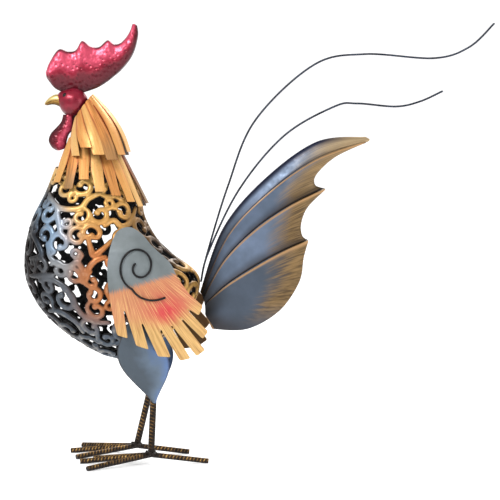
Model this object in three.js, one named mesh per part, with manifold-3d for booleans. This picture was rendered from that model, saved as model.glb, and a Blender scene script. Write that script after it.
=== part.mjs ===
// A welded metal rooster: an openwork scroll body between sheet wings, tail and hackle, on rod legs.
// Millimetres, +Z up. The bird faces -X and its left side faces -Y. The floor is z = 0.
import * as THREE from "three";
import { mergeVertices } from "three/addons/utils/BufferGeometryUtils.js";
import Module from "manifold-3d";

const wasm = await Module();
wasm.setup();

// Clearance left where two pieces are welded face to face.
const GAP = 0.3;
const SHEET = 1.1;

// Body: level, chest edge, back edge and half width at stations from the neck down to the belly.
const BODY_STATIONS = [
  [291, -201, -134, 28],
  [266, -211, -121, 39],
  [240, -224, -115, 50],
  [212, -231, -97, 57],
  [188, -231.5, -66, 60],
  [172, -227, -62, 59],
  [150, -214, -72, 54],
  [128, -190, -92, 43],
  [110, -161, -119, 25],
  [103, -140, -140, 0],
];
const BAR_DEPTH = 3.4;
const BAR_WIDTH = 7;
const SEAM_WIDTH = 3.8;
const SEAM_STEPS = 13;
const COLLAR = { u: 0.012, from: 7, to: 173, steps: 9 };
// The larger scrolls on the flank, as the side view shows them: x, z and radius.
const FLANK_SCROLLS = [
  [-190, 270, 8.5],
  [-168, 270, 8.5],
  [-147, 270, 8.5],
  [-206, 248, 9.5],
  [-178, 248, 9.5],
  [-156, 249, 10],
  [-133, 248, 9],
  [-196, 222, 11],
  [-168, 224, 10],
  [-178, 202, 9.5],
  [-156, 202, 9.5],
  [-199, 194, 11],
  [-210, 171, 9],
  [-187, 165, 11],
  [-160, 176, 10],
  [-172, 139, 10],
  [-150, 127, 9],
  [-79, 181, 9],
];
// The rest of the half is filled with smaller scrolls, largest first, where they find room.
const FILL_RADII = [11, 9];
const FILL_ROWS = 40;
const FILL_COLUMNS = 30;
const SCROLL_STEPS = { flank: 5, fill: 4 };
const SCROLL_TURNS = 0.9;
const SCROLL_EYE = 0.48;
const SCROLL_TAPER = 0.8;
const SCROLL_TURN_STEP = 137.5;
const STEM_SCALE = 0.6;
const RIM_SCALE = 1.15;

// Head, comb, wattle and beak, all on the middle plane but for the eyes.
const HEAD = { x: -184.5, z: 357, radius: 14.5, flat: 0.86, sides: 12, rings: 9 };
// Comb and wattle: sections across them, each from one edge's x and z to the other's.
const COMB_DEPTH = 14;
const COMB = [
  [-211, 381, -212, 387],
  [-204, 372, -208, 397],
  [-197, 368, -199, 409.5],
  [-190, 366, -189, 407.5],
  [-182, 365, -182, 409],
  [-176, 366.5, -175.6, 418],
  [-168, 369, -167, 412.5],
  [-160, 372, -159, 412],
  [-151, 377.5, -150.3, 418.7],
  [-144, 383, -144, 415],
  [-137, 389, -138, 415.7],
  [-129, 398.5, -132, 421.5],
  [-123.5, 409, -127.5, 429],
  [-120, 424, -126, 434],
  [-121, 433, -124, 435],
];
const WATTLE_DEPTH = 10;
const WATTLE = [
  [-195, 345, -188, 345],
  [-197, 338, -187.5, 337],
  [-202, 332, -187.5, 330],
  [-207.5, 326, -189.5, 325],
  [-209.5, 319, -191.5, 319],
  [-206.5, 312.5, -193, 312],
  [-202, 309.5, -199, 309.3],
];
const CUSHION_SIDES = 6;
const CUSHION_SLENDER = 0.35;
const BEAK = { base: [-195, 357.5], tip: [-213.5, 355], height: 7, width: 5.5, sides: 8 };
const BEAK_SHARES = [0, 0.35, 0.7, 0.97];
const EYE = { x: -193.4, y: -7.5, z: 364.6, radius: 2.3, sides: 7, rings: 5 };

// Neck tube and the two tiers of hackle strips round it: rings of centre x, half length, half width.
const NECK_RINGS = [
  { z: 294.2, x: -166, a: 33, b: 24 },
  { z: 318, x: -168, a: 21, b: 16 },
  { z: 348, x: -178, a: 7.5, b: 6 },
];
const NECK_WALL = 1.6;
const NECK_SIDES = 10;
const HACKLE_UPPER = {
  top: { x: -175, a: 9.5, b: 12.5, z: 351, lift: 14 },
  tip: { x: -160, a: 30, b: 40 },
  tipLevels: [304, 312, 305, 300, 305, 308],
  firstAngle: 50,
  topWidth: 4.2,
  tipWidth: 12.5,
  bulge: 7,
};
const HACKLE_LOWER = {
  top: { x: -168.5, a: 23.5, b: 17, z: 322, lift: 0 },
  tip: { x: -162, a: 50, b: 43.5 },
  tipLevels: [278, 272, 281, 269, 265, 259, 254, 257],
  firstAngle: 44,
  topWidth: 6,
  tipWidth: 8.5,
  bulge: 1,
};
// The tiers bulge most at the nape and less at the throat; their strips part below a whole band.
const THROAT_BULGE = 0.35;
const BAND_SHARE = 0.12;
const HACKLE_STEPS = 2;

// Wing: a sheet over the flank, cut into seven fingers, with a wire spiral welded on it.
const WING_BULGE = { x: -140, reach: 130 };
const WING_LEVELS = [
  [236, 46],
  [212, 60],
  [188, 63.8],
  [160, 64.6],
  [130, 64],
  [100, 61],
];
const WING_EDGE = [
  [-140, 143],
  [-145, 173],
  [-146.5, 193],
  [-144.5, 213],
  [-138, 230],
  [-126, 234.5],
  [-114, 228],
  [-104, 217],
  [-87, 201],
  [-79, 186],
  [-68, 170],
];
// Each finger as its two corners, from the uppermost one forward, and the slit in front of it.
const WING_FINGERS = [
  { corners: [[-55, 158], [-59, 149]], slit: [-70, 156] },
  { corners: [[-50, 133], [-55, 126]], slit: [-77, 148] },
  { corners: [[-53, 115], [-61, 109]], slit: [-85, 139.5] },
  { corners: [[-67, 107], [-77, 105]], slit: [-96, 136.5] },
  { corners: [[-86, 109], [-98, 110]], slit: [-113, 142] },
  { corners: [[-107, 117], [-119, 121]], slit: [-130, 154.5] },
  { corners: [[-127, 128], [-137, 131]] },
];
const SLIT_WIDTH = 1.6;
const WING_GRID = { left: -150, right: -46, low: 102, high: 236, columns: 3, rows: 5 };
const WING_CUT_DEPTH = 100;
// The wire winds out from its eye through these degrees, then its tail swings away to the back.
const SPIRAL = { x: -116, z: 197, wire: 1.2, first: 5, growth: 0.038, from: 146, turns: 465 };
const SPIRAL_TAIL = { turn: 62, reach: 16 };
const SPIRAL_SQUEEZE = 0.92;
const SPIRAL_POINTS = 16;
const SPIRAL_STEPS = 21;

// Thigh: a leaf of sheet from the flank down to the leg.
const THIGH = { x: -113, top: 152, tip: 61, width: 49, upperY: -56, lowerY: -33.8, crown: 5 };
// Its half width is a stretch of a sine wave, between these shares of a half turn, and its tip leans back.
const LEAF = { from: 0.06, to: 0.97, sharpness: 1.15, tipLean: 8, topLean: -12, columns: 4, rows: 6 };

// Legs and toes are rods; each toe slopes from the weld under its leg down to the floor.
const LEG_RADIUS = 3.5;
const LEG_SIDES = 10;
const TOE_RADIUS = 2.8;
const TOE_SIDES = 7;
const FLOOR_SIZE = 400;
const FOOT_LEVEL = 8.5;
const TOE_TIP_LEVEL = 2.1;
const LEGS = {
  left: { side: -1, foot: [-107, -27], top: [-102, -31.5, 116] },
  right: { side: 1, foot: [-125, 27], top: [-99, 31.5, 116] },
};
// Direction from straight ahead, turning outwards, and length.
const TOES = {
  left: { outer: [36, 73], middle: [2, 70], inner: [-15, 60], back: [180, 57] },
  right: { outer: [36, 73], middle: [6, 68], inner: [-28, 66], back: [180, 54] },
};

// Tail: the leading edge and the ribs below it, each from its root to its tip.
const TAIL_RIBS = [
  [[-58.5, 168], [-36, 231], [4, 279], [57, 317], [110, 319]],
  [[-57, 166], [-30, 225], [8, 265.5], [56, 299.5], [107, 318]],
  [[-55.5, 162], [-34, 200], [-3, 231], [31, 254], [66, 271]],
  [[-54, 156], [-32, 175], [-5, 192.5], [22, 207.5], [49, 219.5]],
  [[-53.5, 146], [-52, 142], [-50, 138], [-48.5, 134.5], [-47, 131]],
];
// Each panel's trailing edge from rib to rib, how sharply its lines bend to meet it, and the lines between.
const TAIL_PANELS = [
  { edge: [[110, 319], [109, 318.5], [107, 318]], sharpness: 1, splits: 1 },
  { edge: [[107, 318], [76, 303.5], [57, 286], [55.5, 275], [66, 271]], sharpness: 3, splits: 3 },
  { edge: [[66, 271], [48, 253], [41.5, 236], [43, 224], [49, 219.5]], sharpness: 3, splits: 3 },
  { edge: [[49, 219.5], [44, 197], [26, 155], [-10, 131], [-47, 131]], sharpness: 1, splits: 4 },
];
// The shell's dome rises from the edges to the middle, from one share of its length to another.
const TAIL_DOME = { height: 11, from: 0.12, to: 0.97, acrossPower: 0.7, alongPower: 0.8 };
const TAIL_RIB_HEIGHT = 3.2;
const TAIL_STEPS = 6;

// Two long wire plumes that spring from the tail's root.
const WIRE_SIDES = 4;
const PLUME_RADIUS = 0.9;
const PLUME_STEPS = 19;
const PLUMES = {
  plume_upper: {
    y: 1.2,
    points: [
      [-57.9, 179], [-52.5, 204], [-31, 274], [-4, 339], [54, 394],
      [105, 405], [174, 401], [209, 412], [233.3, 435],
    ],
  },
  plume_lower: {
    y: -1.2,
    points: [
      [-57.9, 179], [-50.5, 208], [-19.5, 271], [25, 324], [75, 353],
      [98, 356], [136, 353], [160, 358], [182, 368],
    ],
  },
};

function paint(color, roughness, metalness) {
  return new THREE.MeshStandardMaterial({ color, roughness, metalness });
}
const MATERIALS = {
  red: paint(0xb3263f, 0.35, 0.5),
  brass: paint(0xb8923f, 0.4, 0.7),
  black: paint(0x17171a, 0.5, 0.4),
  orange: paint(0xe0a05a, 0.5, 0.35),
  scroll: paint(0x8a6c48, 0.45, 0.6),
  wing: paint(0xc98a5e, 0.5, 0.3),
  steelBlue: paint(0x56636e, 0.45, 0.5),
  tail: paint(0x6c7884, 0.4, 0.65),
  rod: paint(0x5b4527, 0.55, 0.7),
};

const point = (x, y, z) => new THREE.Vector3(x, y, z);
const radians = THREE.MathUtils.degToRad;
const lerp = THREE.MathUtils.lerp;
const sideCurve = (points) => new THREE.SplineCurve(points.map(([x, z]) => new THREE.Vector2(x, z)));

// Solids and geometry

// A closed geometry from points and faces, turned to face outwards whichever way it was wound.
function closed(points, faces) {
  let volume = 0;
  const normal = new THREE.Vector3();
  for (let i = 0; i < faces.length; i += 3) {
    normal.crossVectors(points[faces[i + 1]], points[faces[i + 2]]);
    volume += points[faces[i]].dot(normal);
  }
  const outward = volume < 0 ? faces.slice().reverse() : faces;
  const geometry = new THREE.BufferGeometry().setFromPoints(points);
  geometry.setIndex(outward);
  return geometry;
}

function solidOf(geometry) {
  const bare = geometry.clone();
  bare.deleteAttribute("normal");
  bare.deleteAttribute("uv");
  const merged = mergeVertices(bare, 1e-4);
  const vertProperties = merged.attributes.position.array;
  const triVerts = new Uint32Array(merged.index.array);
  return new wasm.Manifold(new wasm.Mesh({ numProp: 3, vertProperties, triVerts }));
}

function geometryOf(solid) {
  const { vertProperties, triVerts } = solid.getMesh();
  const geometry = new THREE.BufferGeometry();
  geometry.setAttribute("position", new THREE.BufferAttribute(vertProperties, 3));
  geometry.setIndex(new THREE.BufferAttribute(triVerts, 1));
  return geometry;
}

const joined = (solids) => solids.reduce((all, one) => all.add(one));

// A solid through rings of equally many points, with fans closing its ends.
function loft(rings) {
  const sides = rings[0].length;
  const faces = [];
  for (let k = 0; k + 1 < rings.length; k++) {
    for (let i = 0; i < sides; i++) {
      const a = k * sides + i;
      const b = k * sides + ((i + 1) % sides);
      faces.push(a, b, b + sides, a, b + sides, a + sides);
    }
  }
  const last = (rings.length - 1) * sides;
  for (let i = 1; i + 1 < sides; i++) {
    faces.push(0, i + 1, i, last, last + i, last + i + 1);
  }
  return closed(rings.flat(), faces);
}

// A sheet of even thickness over the filled cells of a grid; at gives the middle surface's points.
function plate(columns, rows, at, thickness, filled = () => true) {
  const points = [];
  const faces = [];
  for (const side of [0.5, -0.5]) {
    for (let r = 0; r <= rows; r++) {
      for (let c = 0; c <= columns; c++) {
        const alongC = at(Math.min(c + 1, columns), r).sub(at(Math.max(c - 1, 0), r));
        const alongR = at(c, Math.min(r + 1, rows)).sub(at(c, Math.max(r - 1, 0)));
        const normal = alongC.cross(alongR).normalize();
        points.push(at(c, r).addScaledVector(normal, side * thickness));
      }
    }
  }
  const width = columns + 1;
  const back = points.length / 2;
  const has = (c, r) => c >= 0 && r >= 0 && c < columns && r < rows && filled(c, r);
  const quad = (a, b, c, d) => faces.push(a, b, c, a, c, d);
  const wall = (a, b) => quad(a, a + back, b + back, b);
  for (let r = 0; r < rows; r++) {
    for (let c = 0; c < columns; c++) {
      if (!has(c, r)) continue;
      const a = r * width + c;
      const [b, d, e] = [a + 1, a + width + 1, a + width];
      quad(a, b, d, e);
      quad(a + back, e + back, d + back, b + back);
      if (!has(c, r - 1)) wall(a, b);
      if (!has(c + 1, r)) wall(b, d);
      if (!has(c, r + 1)) wall(d, e);
      if (!has(c - 1, r)) wall(e, a);
    }
  }
  return closed(points, faces);
}

// A side-view outline, x across and z up, as a prism through the left half from y = 0 outwards.
function leftPrism(shape, depth) {
  const geometry = new THREE.ExtrudeGeometry(shape, { depth, bevelEnabled: false, curveSegments: 2 });
  return geometry.rotateX(Math.PI / 2);
}

// A cushion in the middle plane between two edges, as lens-shaped sections across it.
function cushion(sections, depth) {
  const rings = sections.map(([xA, zA, xB, zB]) => {
    const half = Math.min(depth / 2, CUSHION_SLENDER * Math.hypot(xB - xA, zB - zA));
    const ring = [];
    for (let i = 0; i < CUSHION_SIDES; i++) {
      const angle = (2 * Math.PI * i) / CUSHION_SIDES;
      const share = (1 - Math.cos(angle)) / 2;
      ring.push(point(lerp(xA, xB, share), half * Math.sin(angle), lerp(zA, zB, share)));
    }
    return ring;
  });
  return solidOf(loft(rings));
}

function rod(from, to, radius, sides) {
  const along = to.clone().sub(from);
  const geometry = new THREE.CylinderGeometry(radius, radius, along.length(), sides);
  const turn = new THREE.Quaternion().setFromUnitVectors(point(0, 1, 0), along.normalize());
  return geometry.applyQuaternion(turn).translate(...from.clone().add(to).multiplyScalar(0.5));
}

function wire(curve, radius, sides, steps) {
  const section = new THREE.Shape();
  for (let i = 0; i < sides; i++) {
    const angle = (2 * Math.PI * i) / sides;
    const [x, y] = [radius * Math.cos(angle), radius * Math.sin(angle)];
    if (i === 0) section.moveTo(x, y);
    else section.lineTo(x, y);
  }
  return new THREE.ExtrudeGeometry(section, { extrudePath: curve, steps, bevelEnabled: false });
}

const rooster = new THREE.Group();
rooster.name = "rooster";

function add(name, geometry, material) {
  const mesh = new THREE.Mesh(geometry, material);
  mesh.name = name;
  rooster.add(mesh);
  return mesh;
}

// The left piece, and its mirror image on the right.
function addPair(name, geometry, material) {
  add(`${name}_left`, geometry, material);
  add(`${name}_right`, geometry, material).scale.y = -1;
}

// Body

const bodyEdge = (column) => sideCurve(BODY_STATIONS.map((station) => [station[column], station[0]]));
const chestEdge = bodyEdge(1);
const backEdge = bodyEdge(2);
const bodyWidth = bodyEdge(3);

// A point of the left half: u runs from the neck to the belly, angle from the chest to the back.
function bodyPoint(u, angle) {
  const chest = chestEdge.getPoint(u);
  const back = backEdge.getPoint(u);
  const middle = (chest.x + back.x) / 2;
  const half = (back.x - chest.x) / 2;
  const width = bodyWidth.getPoint(u).x;
  return point(middle - half * Math.cos(angle), -width * Math.sin(angle), chest.y);
}

function bodySlopes(u, angle) {
  const step = 1e-3;
  const down = bodyPoint(u + step, angle).sub(bodyPoint(u - step, angle)).divideScalar(2 * step);
  const round = bodyPoint(u, angle + step).sub(bodyPoint(u, angle - step)).divideScalar(2 * step);
  return { down, round, normal: down.clone().cross(round).normalize().negate() };
}

// Where the side view's x and z meet the left half.
function bodyPlace(x, z) {
  let [upper, lower] = [0, 1];
  for (let i = 0; i < 40; i++) {
    const middle = (upper + lower) / 2;
    if (chestEdge.getPoint(middle).y > z) upper = middle;
    else lower = middle;
  }
  const chest = chestEdge.getPoint(upper).x;
  const back = backEdge.getPoint(upper).x;
  const share = (chest + back - 2 * x) / (back - chest);
  return { u: upper, angle: Math.acos(THREE.MathUtils.clamp(share, -0.97, 0.97)) };
}

// A ridged bar along a path of points with outward normals, its section scaled at each point.
function bar(path, width) {
  const rings = path.map(({ at, normal, scale }, i) => {
    const before = path[Math.max(i - 1, 0)].at;
    const after = path[Math.min(i + 1, path.length - 1)].at;
    const across = after.clone().sub(before).cross(normal).setLength((scale * width) / 2);
    const out = normal.clone().setLength((scale * BAR_DEPTH) / 2);
    return [
      at.clone().add(out),
      at.clone().sub(across).sub(out),
      at.clone().add(across).sub(out),
    ];
  });
  return solidOf(loft(rings));
}

// Centre and radius of every scroll: those of the flank, then the fill, which keeps off its neighbours.
function scrollPlan() {
  const { flank, fill } = SCROLL_STEPS;
  const plan = FLANK_SCROLLS.map(([x, z, radius]) => ({ ...bodyPlace(x, z), radius, steps: flank }));
  const rims = [seamPath(chestEdge), seamPath(backEdge), collarPath()].flat();
  const room = (place) => {
    const at = bodyPoint(place.u, place.angle);
    const toRim = Math.min(...rims.map((node) => node.at.distanceTo(at)));
    const toScroll = plan.map(({ u, angle, radius }) => bodyPoint(u, angle).distanceTo(at) - radius);
    return Math.min(toRim, ...toScroll) - BAR_WIDTH / 2;
  };
  for (const radius of FILL_RADII) {
    for (let row = 1; row < FILL_ROWS; row++) {
      for (let column = 1; column < FILL_COLUMNS; column++) {
        const place = { u: row / FILL_ROWS, angle: (Math.PI * column) / FILL_COLUMNS };
        if (room(place) > radius) plan.push({ ...place, radius, steps: fill });
      }
    }
  }
  return plan;
}

// A spiral hook from its outer end in to its eye; neighbours turn opposite ways.
function scrollPath({ u, angle, radius, steps }, index) {
  const { down, round } = bodySlopes(u, angle);
  const hand = index % 2 ? -1 : 1;
  const path = [];
  for (let i = 0; i <= steps; i++) {
    const share = i / steps;
    const turn = radians(SCROLL_TURN_STEP * index) + hand * share * SCROLL_TURNS * 2 * Math.PI;
    const r = radius * lerp(1, SCROLL_EYE, share);
    const placeU = u - (r * Math.sin(turn)) / down.length();
    const placeAngle = angle + (r * Math.cos(turn)) / round.length();
    const { normal } = bodySlopes(placeU, placeAngle);
    path.push({ at: bodyPoint(placeU, placeAngle), normal, scale: lerp(1, SCROLL_TAPER, share) });
  }
  return path;
}

// The rim where the two halves are welded, just left of the middle plane.
function seamPath(edge) {
  const path = [];
  for (let i = 0; i <= SEAM_STEPS; i++) {
    const u = i / SEAM_STEPS;
    const at = edge.getPoint(u);
    const tangent = edge.getTangent(u);
    const side = edge === chestEdge ? 1 : -1;
    path.push({
      at: point(at.x, -(RIM_SCALE * SEAM_WIDTH + GAP) / 2, at.y),
      normal: point(tangent.y * side, 0, -tangent.x * side),
      scale: RIM_SCALE,
    });
  }
  return path;
}

function collarPath() {
  const path = [];
  const { u, from, to, steps } = COLLAR;
  for (let i = 0; i <= steps; i++) {
    const angle = radians(lerp(from, to, i / steps));
    path.push({ at: bodyPoint(u, angle), normal: bodySlopes(u, angle).normal, scale: RIM_SCALE });
  }
  return path;
}

// The placed bar's point that is nearest to where a scroll starts.
function nearest(path, placed) {
  const start = path[0].at;
  let best = { distance: Infinity };
  for (const node of placed.flat()) {
    const distance = node.at.distanceTo(start);
    if (distance < best.distance) best = { distance, node };
  }
  return best;
}

// Every scroll springs from the nearest bar already in the half, so the half is one piece of openwork.
function bodyHalf() {
  const placed = [seamPath(chestEdge), seamPath(backEdge), collarPath()];
  const solids = placed.map((path) => bar(path, SEAM_WIDTH));
  const waiting = scrollPlan().map(scrollPath);
  while (waiting.length) {
    const stems = waiting.map((path) => nearest(path, placed));
    const first = stems.reduce((best, stem, i) => (stem.distance < stems[best].distance ? i : best), 0);
    const path = waiting.splice(first, 1)[0];
    solids.push(bar([{ ...stems[first].node, scale: STEM_SCALE }, ...path], BAR_WIDTH));
    placed.push(path);
  }
  return joined(solids);
}

// Head

function headSolid(clearance) {
  const radius = HEAD.radius + clearance;
  const ball = new THREE.SphereGeometry(radius, HEAD.sides, HEAD.rings).scale(1, 1, HEAD.flat);
  return solidOf(ball.rotateX(Math.PI / 2).translate(HEAD.x, 0, HEAD.z));
}

// A hooked cone: rings that shrink from the face to the tip.
function beak() {
  const rings = [];
  for (const share of BEAK_SHARES) {
    const x = lerp(BEAK.base[0], BEAK.tip[0], share);
    const z = lerp(BEAK.base[1], BEAK.tip[1], share ** 2);
    const size = Math.sqrt(1 - share);
    const ring = [];
    for (let i = 0; i < BEAK.sides; i++) {
      const angle = (2 * Math.PI * i) / BEAK.sides;
      ring.push(point(x, BEAK.width * size * Math.cos(angle), z + BEAK.height * size * Math.sin(angle)));
    }
    rings.push(ring);
  }
  return solidOf(loft(rings));
}

// Neck and hackle

function neckRing({ x, z, a, b }, inset) {
  const ring = [];
  for (let i = 0; i < NECK_SIDES; i++) {
    const angle = (2 * Math.PI * i) / NECK_SIDES;
    ring.push(point(x - (a - inset) * Math.cos(angle), -(b - inset) * Math.sin(angle), z));
  }
  return ring;
}

function neck() {
  const outer = NECK_RINGS.map((ring) => neckRing(ring, 0));
  const [foot, ...rest] = NECK_RINGS;
  const inner = [{ ...foot, z: foot.z - 1 }, ...rest].map((ring) => neckRing(ring, NECK_WALL));
  inner[inner.length - 1].forEach((p) => p.setZ(p.z - NECK_WALL));
  return solidOf(loft(outer)).subtract(solidOf(loft(inner)));
}

// A point of a hackle tier: angle from the throat round the left side, share from collar to tip.
function hacklePoint({ top, tip, bulge }, tipLevel, angle, share) {
  const out = bulge * Math.sin(Math.PI * share) * lerp(THROAT_BULGE, 1, 0.5 - 0.5 * Math.cos(angle));
  const x = lerp(top.x, tip.x, share);
  const a = lerp(top.a, tip.a, share) + out;
  const b = lerp(top.b, tip.b, share) + out;
  const z = lerp(top.z - top.lift * Math.cos(angle), tipLevel, share);
  return point(x - a * Math.cos(angle), -b * Math.sin(angle), z);
}

// One fan of sheet bent round the neck: a whole collar, then strips of different lengths below it.
function hackle(tier) {
  const { top, tip, tipLevels, firstAngle, topWidth, tipWidth } = tier;
  const levels = [...tipLevels, ...tipLevels.slice().reverse()];
  const pitch = (180 - firstAngle) / (tipLevels.length - 0.5);
  const at = (c, r) => {
    const strip = Math.floor(c / 2);
    const share = r === 0 ? 0 : lerp(BAND_SHARE, 1, (r - 1) / HACKLE_STEPS);
    const radius = lerp((top.a + top.b) / 2, (tip.a + tip.b) / 2, share);
    const half = lerp(topWidth, tipWidth, share) / 2 / radius;
    const angle = radians(firstAngle + strip * pitch) + (c % 2 ? half : -half);
    return hacklePoint(tier, levels[strip], angle, share);
  };
  return plate(2 * levels.length - 1, HACKLE_STEPS + 1, at, SHEET, (c, r) => r === 0 || c % 2 === 0);
}

// Wing

function wingDepth(x, z) {
  const over = WING_LEVELS.findIndex(([level]) => level <= z);
  const i = over === -1 ? WING_LEVELS.length - 1 : Math.max(over, 1);
  const [[zA, yA], [zB, yB]] = [WING_LEVELS[i - 1], WING_LEVELS[i]];
  const level = lerp(yA, yB, (z - zA) / (zB - zA));
  return -level * Math.sqrt(1 - ((x - WING_BULGE.x) / WING_BULGE.reach) ** 2);
}

function wingShape() {
  const shape = new THREE.Shape();
  const edge = WING_EDGE.map(([x, z]) => new THREE.Vector2(x, z));
  shape.moveTo(edge[0].x, edge[0].y);
  shape.splineThru(edge.slice(1));
  for (const { corners, slit } of WING_FINGERS) {
    corners.forEach(([x, z]) => shape.lineTo(x, z));
    if (slit) {
      shape.lineTo(slit[0] + SLIT_WIDTH / 2, slit[1]);
      shape.lineTo(slit[0] - SLIT_WIDTH / 2, slit[1]);
    }
  }
  return shape;
}

function wing() {
  const { left, right, low, high, columns, rows } = WING_GRID;
  const sheet = (c, r) => {
    const [x, z] = [lerp(left, right, c / columns), lerp(low, high, r / rows)];
    return point(x, wingDepth(x, z), z);
  };
  const outline = solidOf(leftPrism(wingShape(), WING_CUT_DEPTH));
  return solidOf(plate(columns, rows, sheet, SHEET)).intersect(outline);
}

// The spiral winds out from its eye and ends in a tail that swings away to the back.
function wingSpiral() {
  const points = [];
  for (let i = 0; i <= SPIRAL_POINTS; i++) {
    const turn = ((SPIRAL.turns + SPIRAL_TAIL.turn) * i) / SPIRAL_POINTS;
    const past = Math.max(turn - SPIRAL.turns, 0) / SPIRAL_TAIL.turn;
    const radius = SPIRAL.first + SPIRAL.growth * turn + SPIRAL_TAIL.reach * past;
    const angle = radians(SPIRAL.from + turn);
    const x = SPIRAL.x + SPIRAL_SQUEEZE * radius * Math.cos(angle);
    const z = SPIRAL.z + radius * Math.sin(angle);
    points.push(point(x, wingDepth(x, z) - SHEET / 2 - SPIRAL.wire - GAP, z));
  }
  return wire(new THREE.CatmullRomCurve3(points), SPIRAL.wire, WIRE_SIDES, SPIRAL_STEPS);
}

// Thigh, leg and toes

function thigh() {
  const sheet = (c, r) => {
    const v = r / LEAF.rows;
    const z = lerp(THIGH.tip, THIGH.top, v);
    const half = (THIGH.width / 2) * Math.sin(Math.PI * lerp(LEAF.from, LEAF.to, v)) ** LEAF.sharpness;
    const lean = lerp(LEAF.tipLean, LEAF.topLean, v);
    const across = (2 * c) / LEAF.columns - 1;
    const y = lerp(THIGH.lowerY, THIGH.upperY, v) - THIGH.crown * (1 - across ** 2) * Math.sin(Math.PI * v);
    return point(THIGH.x + lean + across * half, y, z);
  };
  return plate(LEAF.columns, LEAF.rows, sheet, SHEET);
}

// A foot's toes, each cut to fit against the leg and the toes laid before it.
function addFoot(name, leg, toes) {
  const [x, y] = leg.foot;
  const weld = point(x, y, FOOT_LEVEL);
  const shin = (clearance) => solidOf(rod(weld, point(...leg.top), LEG_RADIUS + clearance, LEG_SIDES));
  add(`leg_${name}`, geometryOf(shin(0)), MATERIALS.rod);
  const floor = new THREE.BoxGeometry(FLOOR_SIZE, FLOOR_SIZE, FLOOR_SIZE).translate(x, y, -FLOOR_SIZE / 2);
  let taken = shin(GAP);
  for (const [toe, [outward, length]] of Object.entries(toes)) {
    const turn = radians(outward);
    const tip = point(x - length * Math.cos(turn), y + leg.side * length * Math.sin(turn), TOE_TIP_LEVEL);
    const bare = solidOf(rod(weld, tip, TOE_RADIUS, TOE_SIDES));
    const cut = bare.subtract(taken).subtract(solidOf(floor));
    const largest = cut.decompose().reduce((best, one) => (one.volume() > best.volume() ? one : best));
    add(`toe_${name}_${toe}`, geometryOf(largest), MATERIALS.rod);
    taken = taken.add(solidOf(rod(weld, tip, TOE_RADIUS + GAP, TOE_SIDES)));
  }
}

// Tail

const tailRibs = TAIL_RIBS.map(sideCurve);

// A point of a panel: share from its upper rib to its lower one, along from the root to the trailing edge.
function tailPoint(panel, share, along) {
  const { edge, sharpness } = TAIL_PANELS[panel];
  const between = (t) => tailRibs[panel].getPoint(t).lerp(tailRibs[panel + 1].getPoint(t), share);
  const bend = sideCurve(edge).getPoint(share).sub(between(1));
  const at = between(along).addScaledVector(bend, along ** sharpness);
  const across = (panel + share) / TAIL_PANELS.length;
  const { height, from, to, acrossPower, alongPower } = TAIL_DOME;
  const swell = Math.sin(Math.PI * lerp(from, to, along)) ** alongPower;
  const dome = height * swell * Math.sin(Math.PI * across) ** acrossPower;
  const ridge = TAIL_RIB_HEIGHT * (1 - Math.sin(Math.PI * share)) * Math.sin(Math.PI * across);
  return point(at.x, -(SHEET / 2 + GAP / 2 + dome + ridge), at.y);
}

function tailShell() {
  const lines = [];
  TAIL_PANELS.forEach(({ splits }, panel) => {
    for (let k = 0; k < splits + 1; k++) lines.push([panel, k / (splits + 1)]);
  });
  lines.push([TAIL_PANELS.length - 1, 1]);
  const shell = (c, r) => tailPoint(...lines[c], r / TAIL_STEPS);
  return plate(lines.length - 1, TAIL_STEPS, shell, SHEET);
}

// Assembly

addPair("body", geometryOf(bodyHalf()), MATERIALS.scroll);

add("head", geometryOf(headSolid(0)), MATERIALS.red);
const clearOfHead = headSolid(GAP);
add("comb", geometryOf(cushion(COMB, COMB_DEPTH).subtract(clearOfHead)), MATERIALS.red);
add("wattle", geometryOf(cushion(WATTLE, WATTLE_DEPTH).subtract(clearOfHead)), MATERIALS.red);
add("beak", geometryOf(beak().subtract(clearOfHead)), MATERIALS.brass);
const eyeBall = new THREE.SphereGeometry(EYE.radius, EYE.sides, EYE.rings);
eyeBall.translate(EYE.x, EYE.y, EYE.z);
addPair("eye", geometryOf(solidOf(eyeBall).subtract(clearOfHead)), MATERIALS.black);

add("neck", geometryOf(neck().subtract(clearOfHead)), MATERIALS.black);
add("hackle_upper", hackle(HACKLE_UPPER), MATERIALS.orange);
add("hackle_lower", hackle(HACKLE_LOWER), MATERIALS.orange);

addPair("wing", geometryOf(wing()), MATERIALS.wing);
addPair("wing_spiral", wingSpiral(), MATERIALS.black);
addPair("thigh", thigh(), MATERIALS.steelBlue);

for (const name of ["left", "right"]) addFoot(name, LEGS[name], TOES[name]);

addPair("tail", tailShell(), MATERIALS.tail);
for (const [name, { y, points }] of Object.entries(PLUMES)) {
  const curve = new THREE.CatmullRomCurve3(points.map(([x, z]) => point(x, y, z)));
  add(name, wire(curve, PLUME_RADIUS, WIRE_SIDES, PLUME_STEPS), MATERIALS.steelBlue);
}

export default rooster;
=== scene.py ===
"""The looks of a welded metal rooster: hammered red comb and head, hackle strips, openwork scroll body,
sheet wings, thighs and tail, wire plumes and ribbed rod legs. Sizes are in millimetres."""

import math

import bmesh
import bpy
import numpy as np
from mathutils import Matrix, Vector, noise
from mathutils.geometry import delaunay_2d_cdt


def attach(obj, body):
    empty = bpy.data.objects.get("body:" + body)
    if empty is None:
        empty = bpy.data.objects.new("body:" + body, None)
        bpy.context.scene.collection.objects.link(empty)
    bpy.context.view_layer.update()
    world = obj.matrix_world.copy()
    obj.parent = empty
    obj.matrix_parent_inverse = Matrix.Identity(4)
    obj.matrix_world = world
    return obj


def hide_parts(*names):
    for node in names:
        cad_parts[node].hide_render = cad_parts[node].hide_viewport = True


MM = 0.001
GAP = 0.3
SHEET = 1.1

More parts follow.
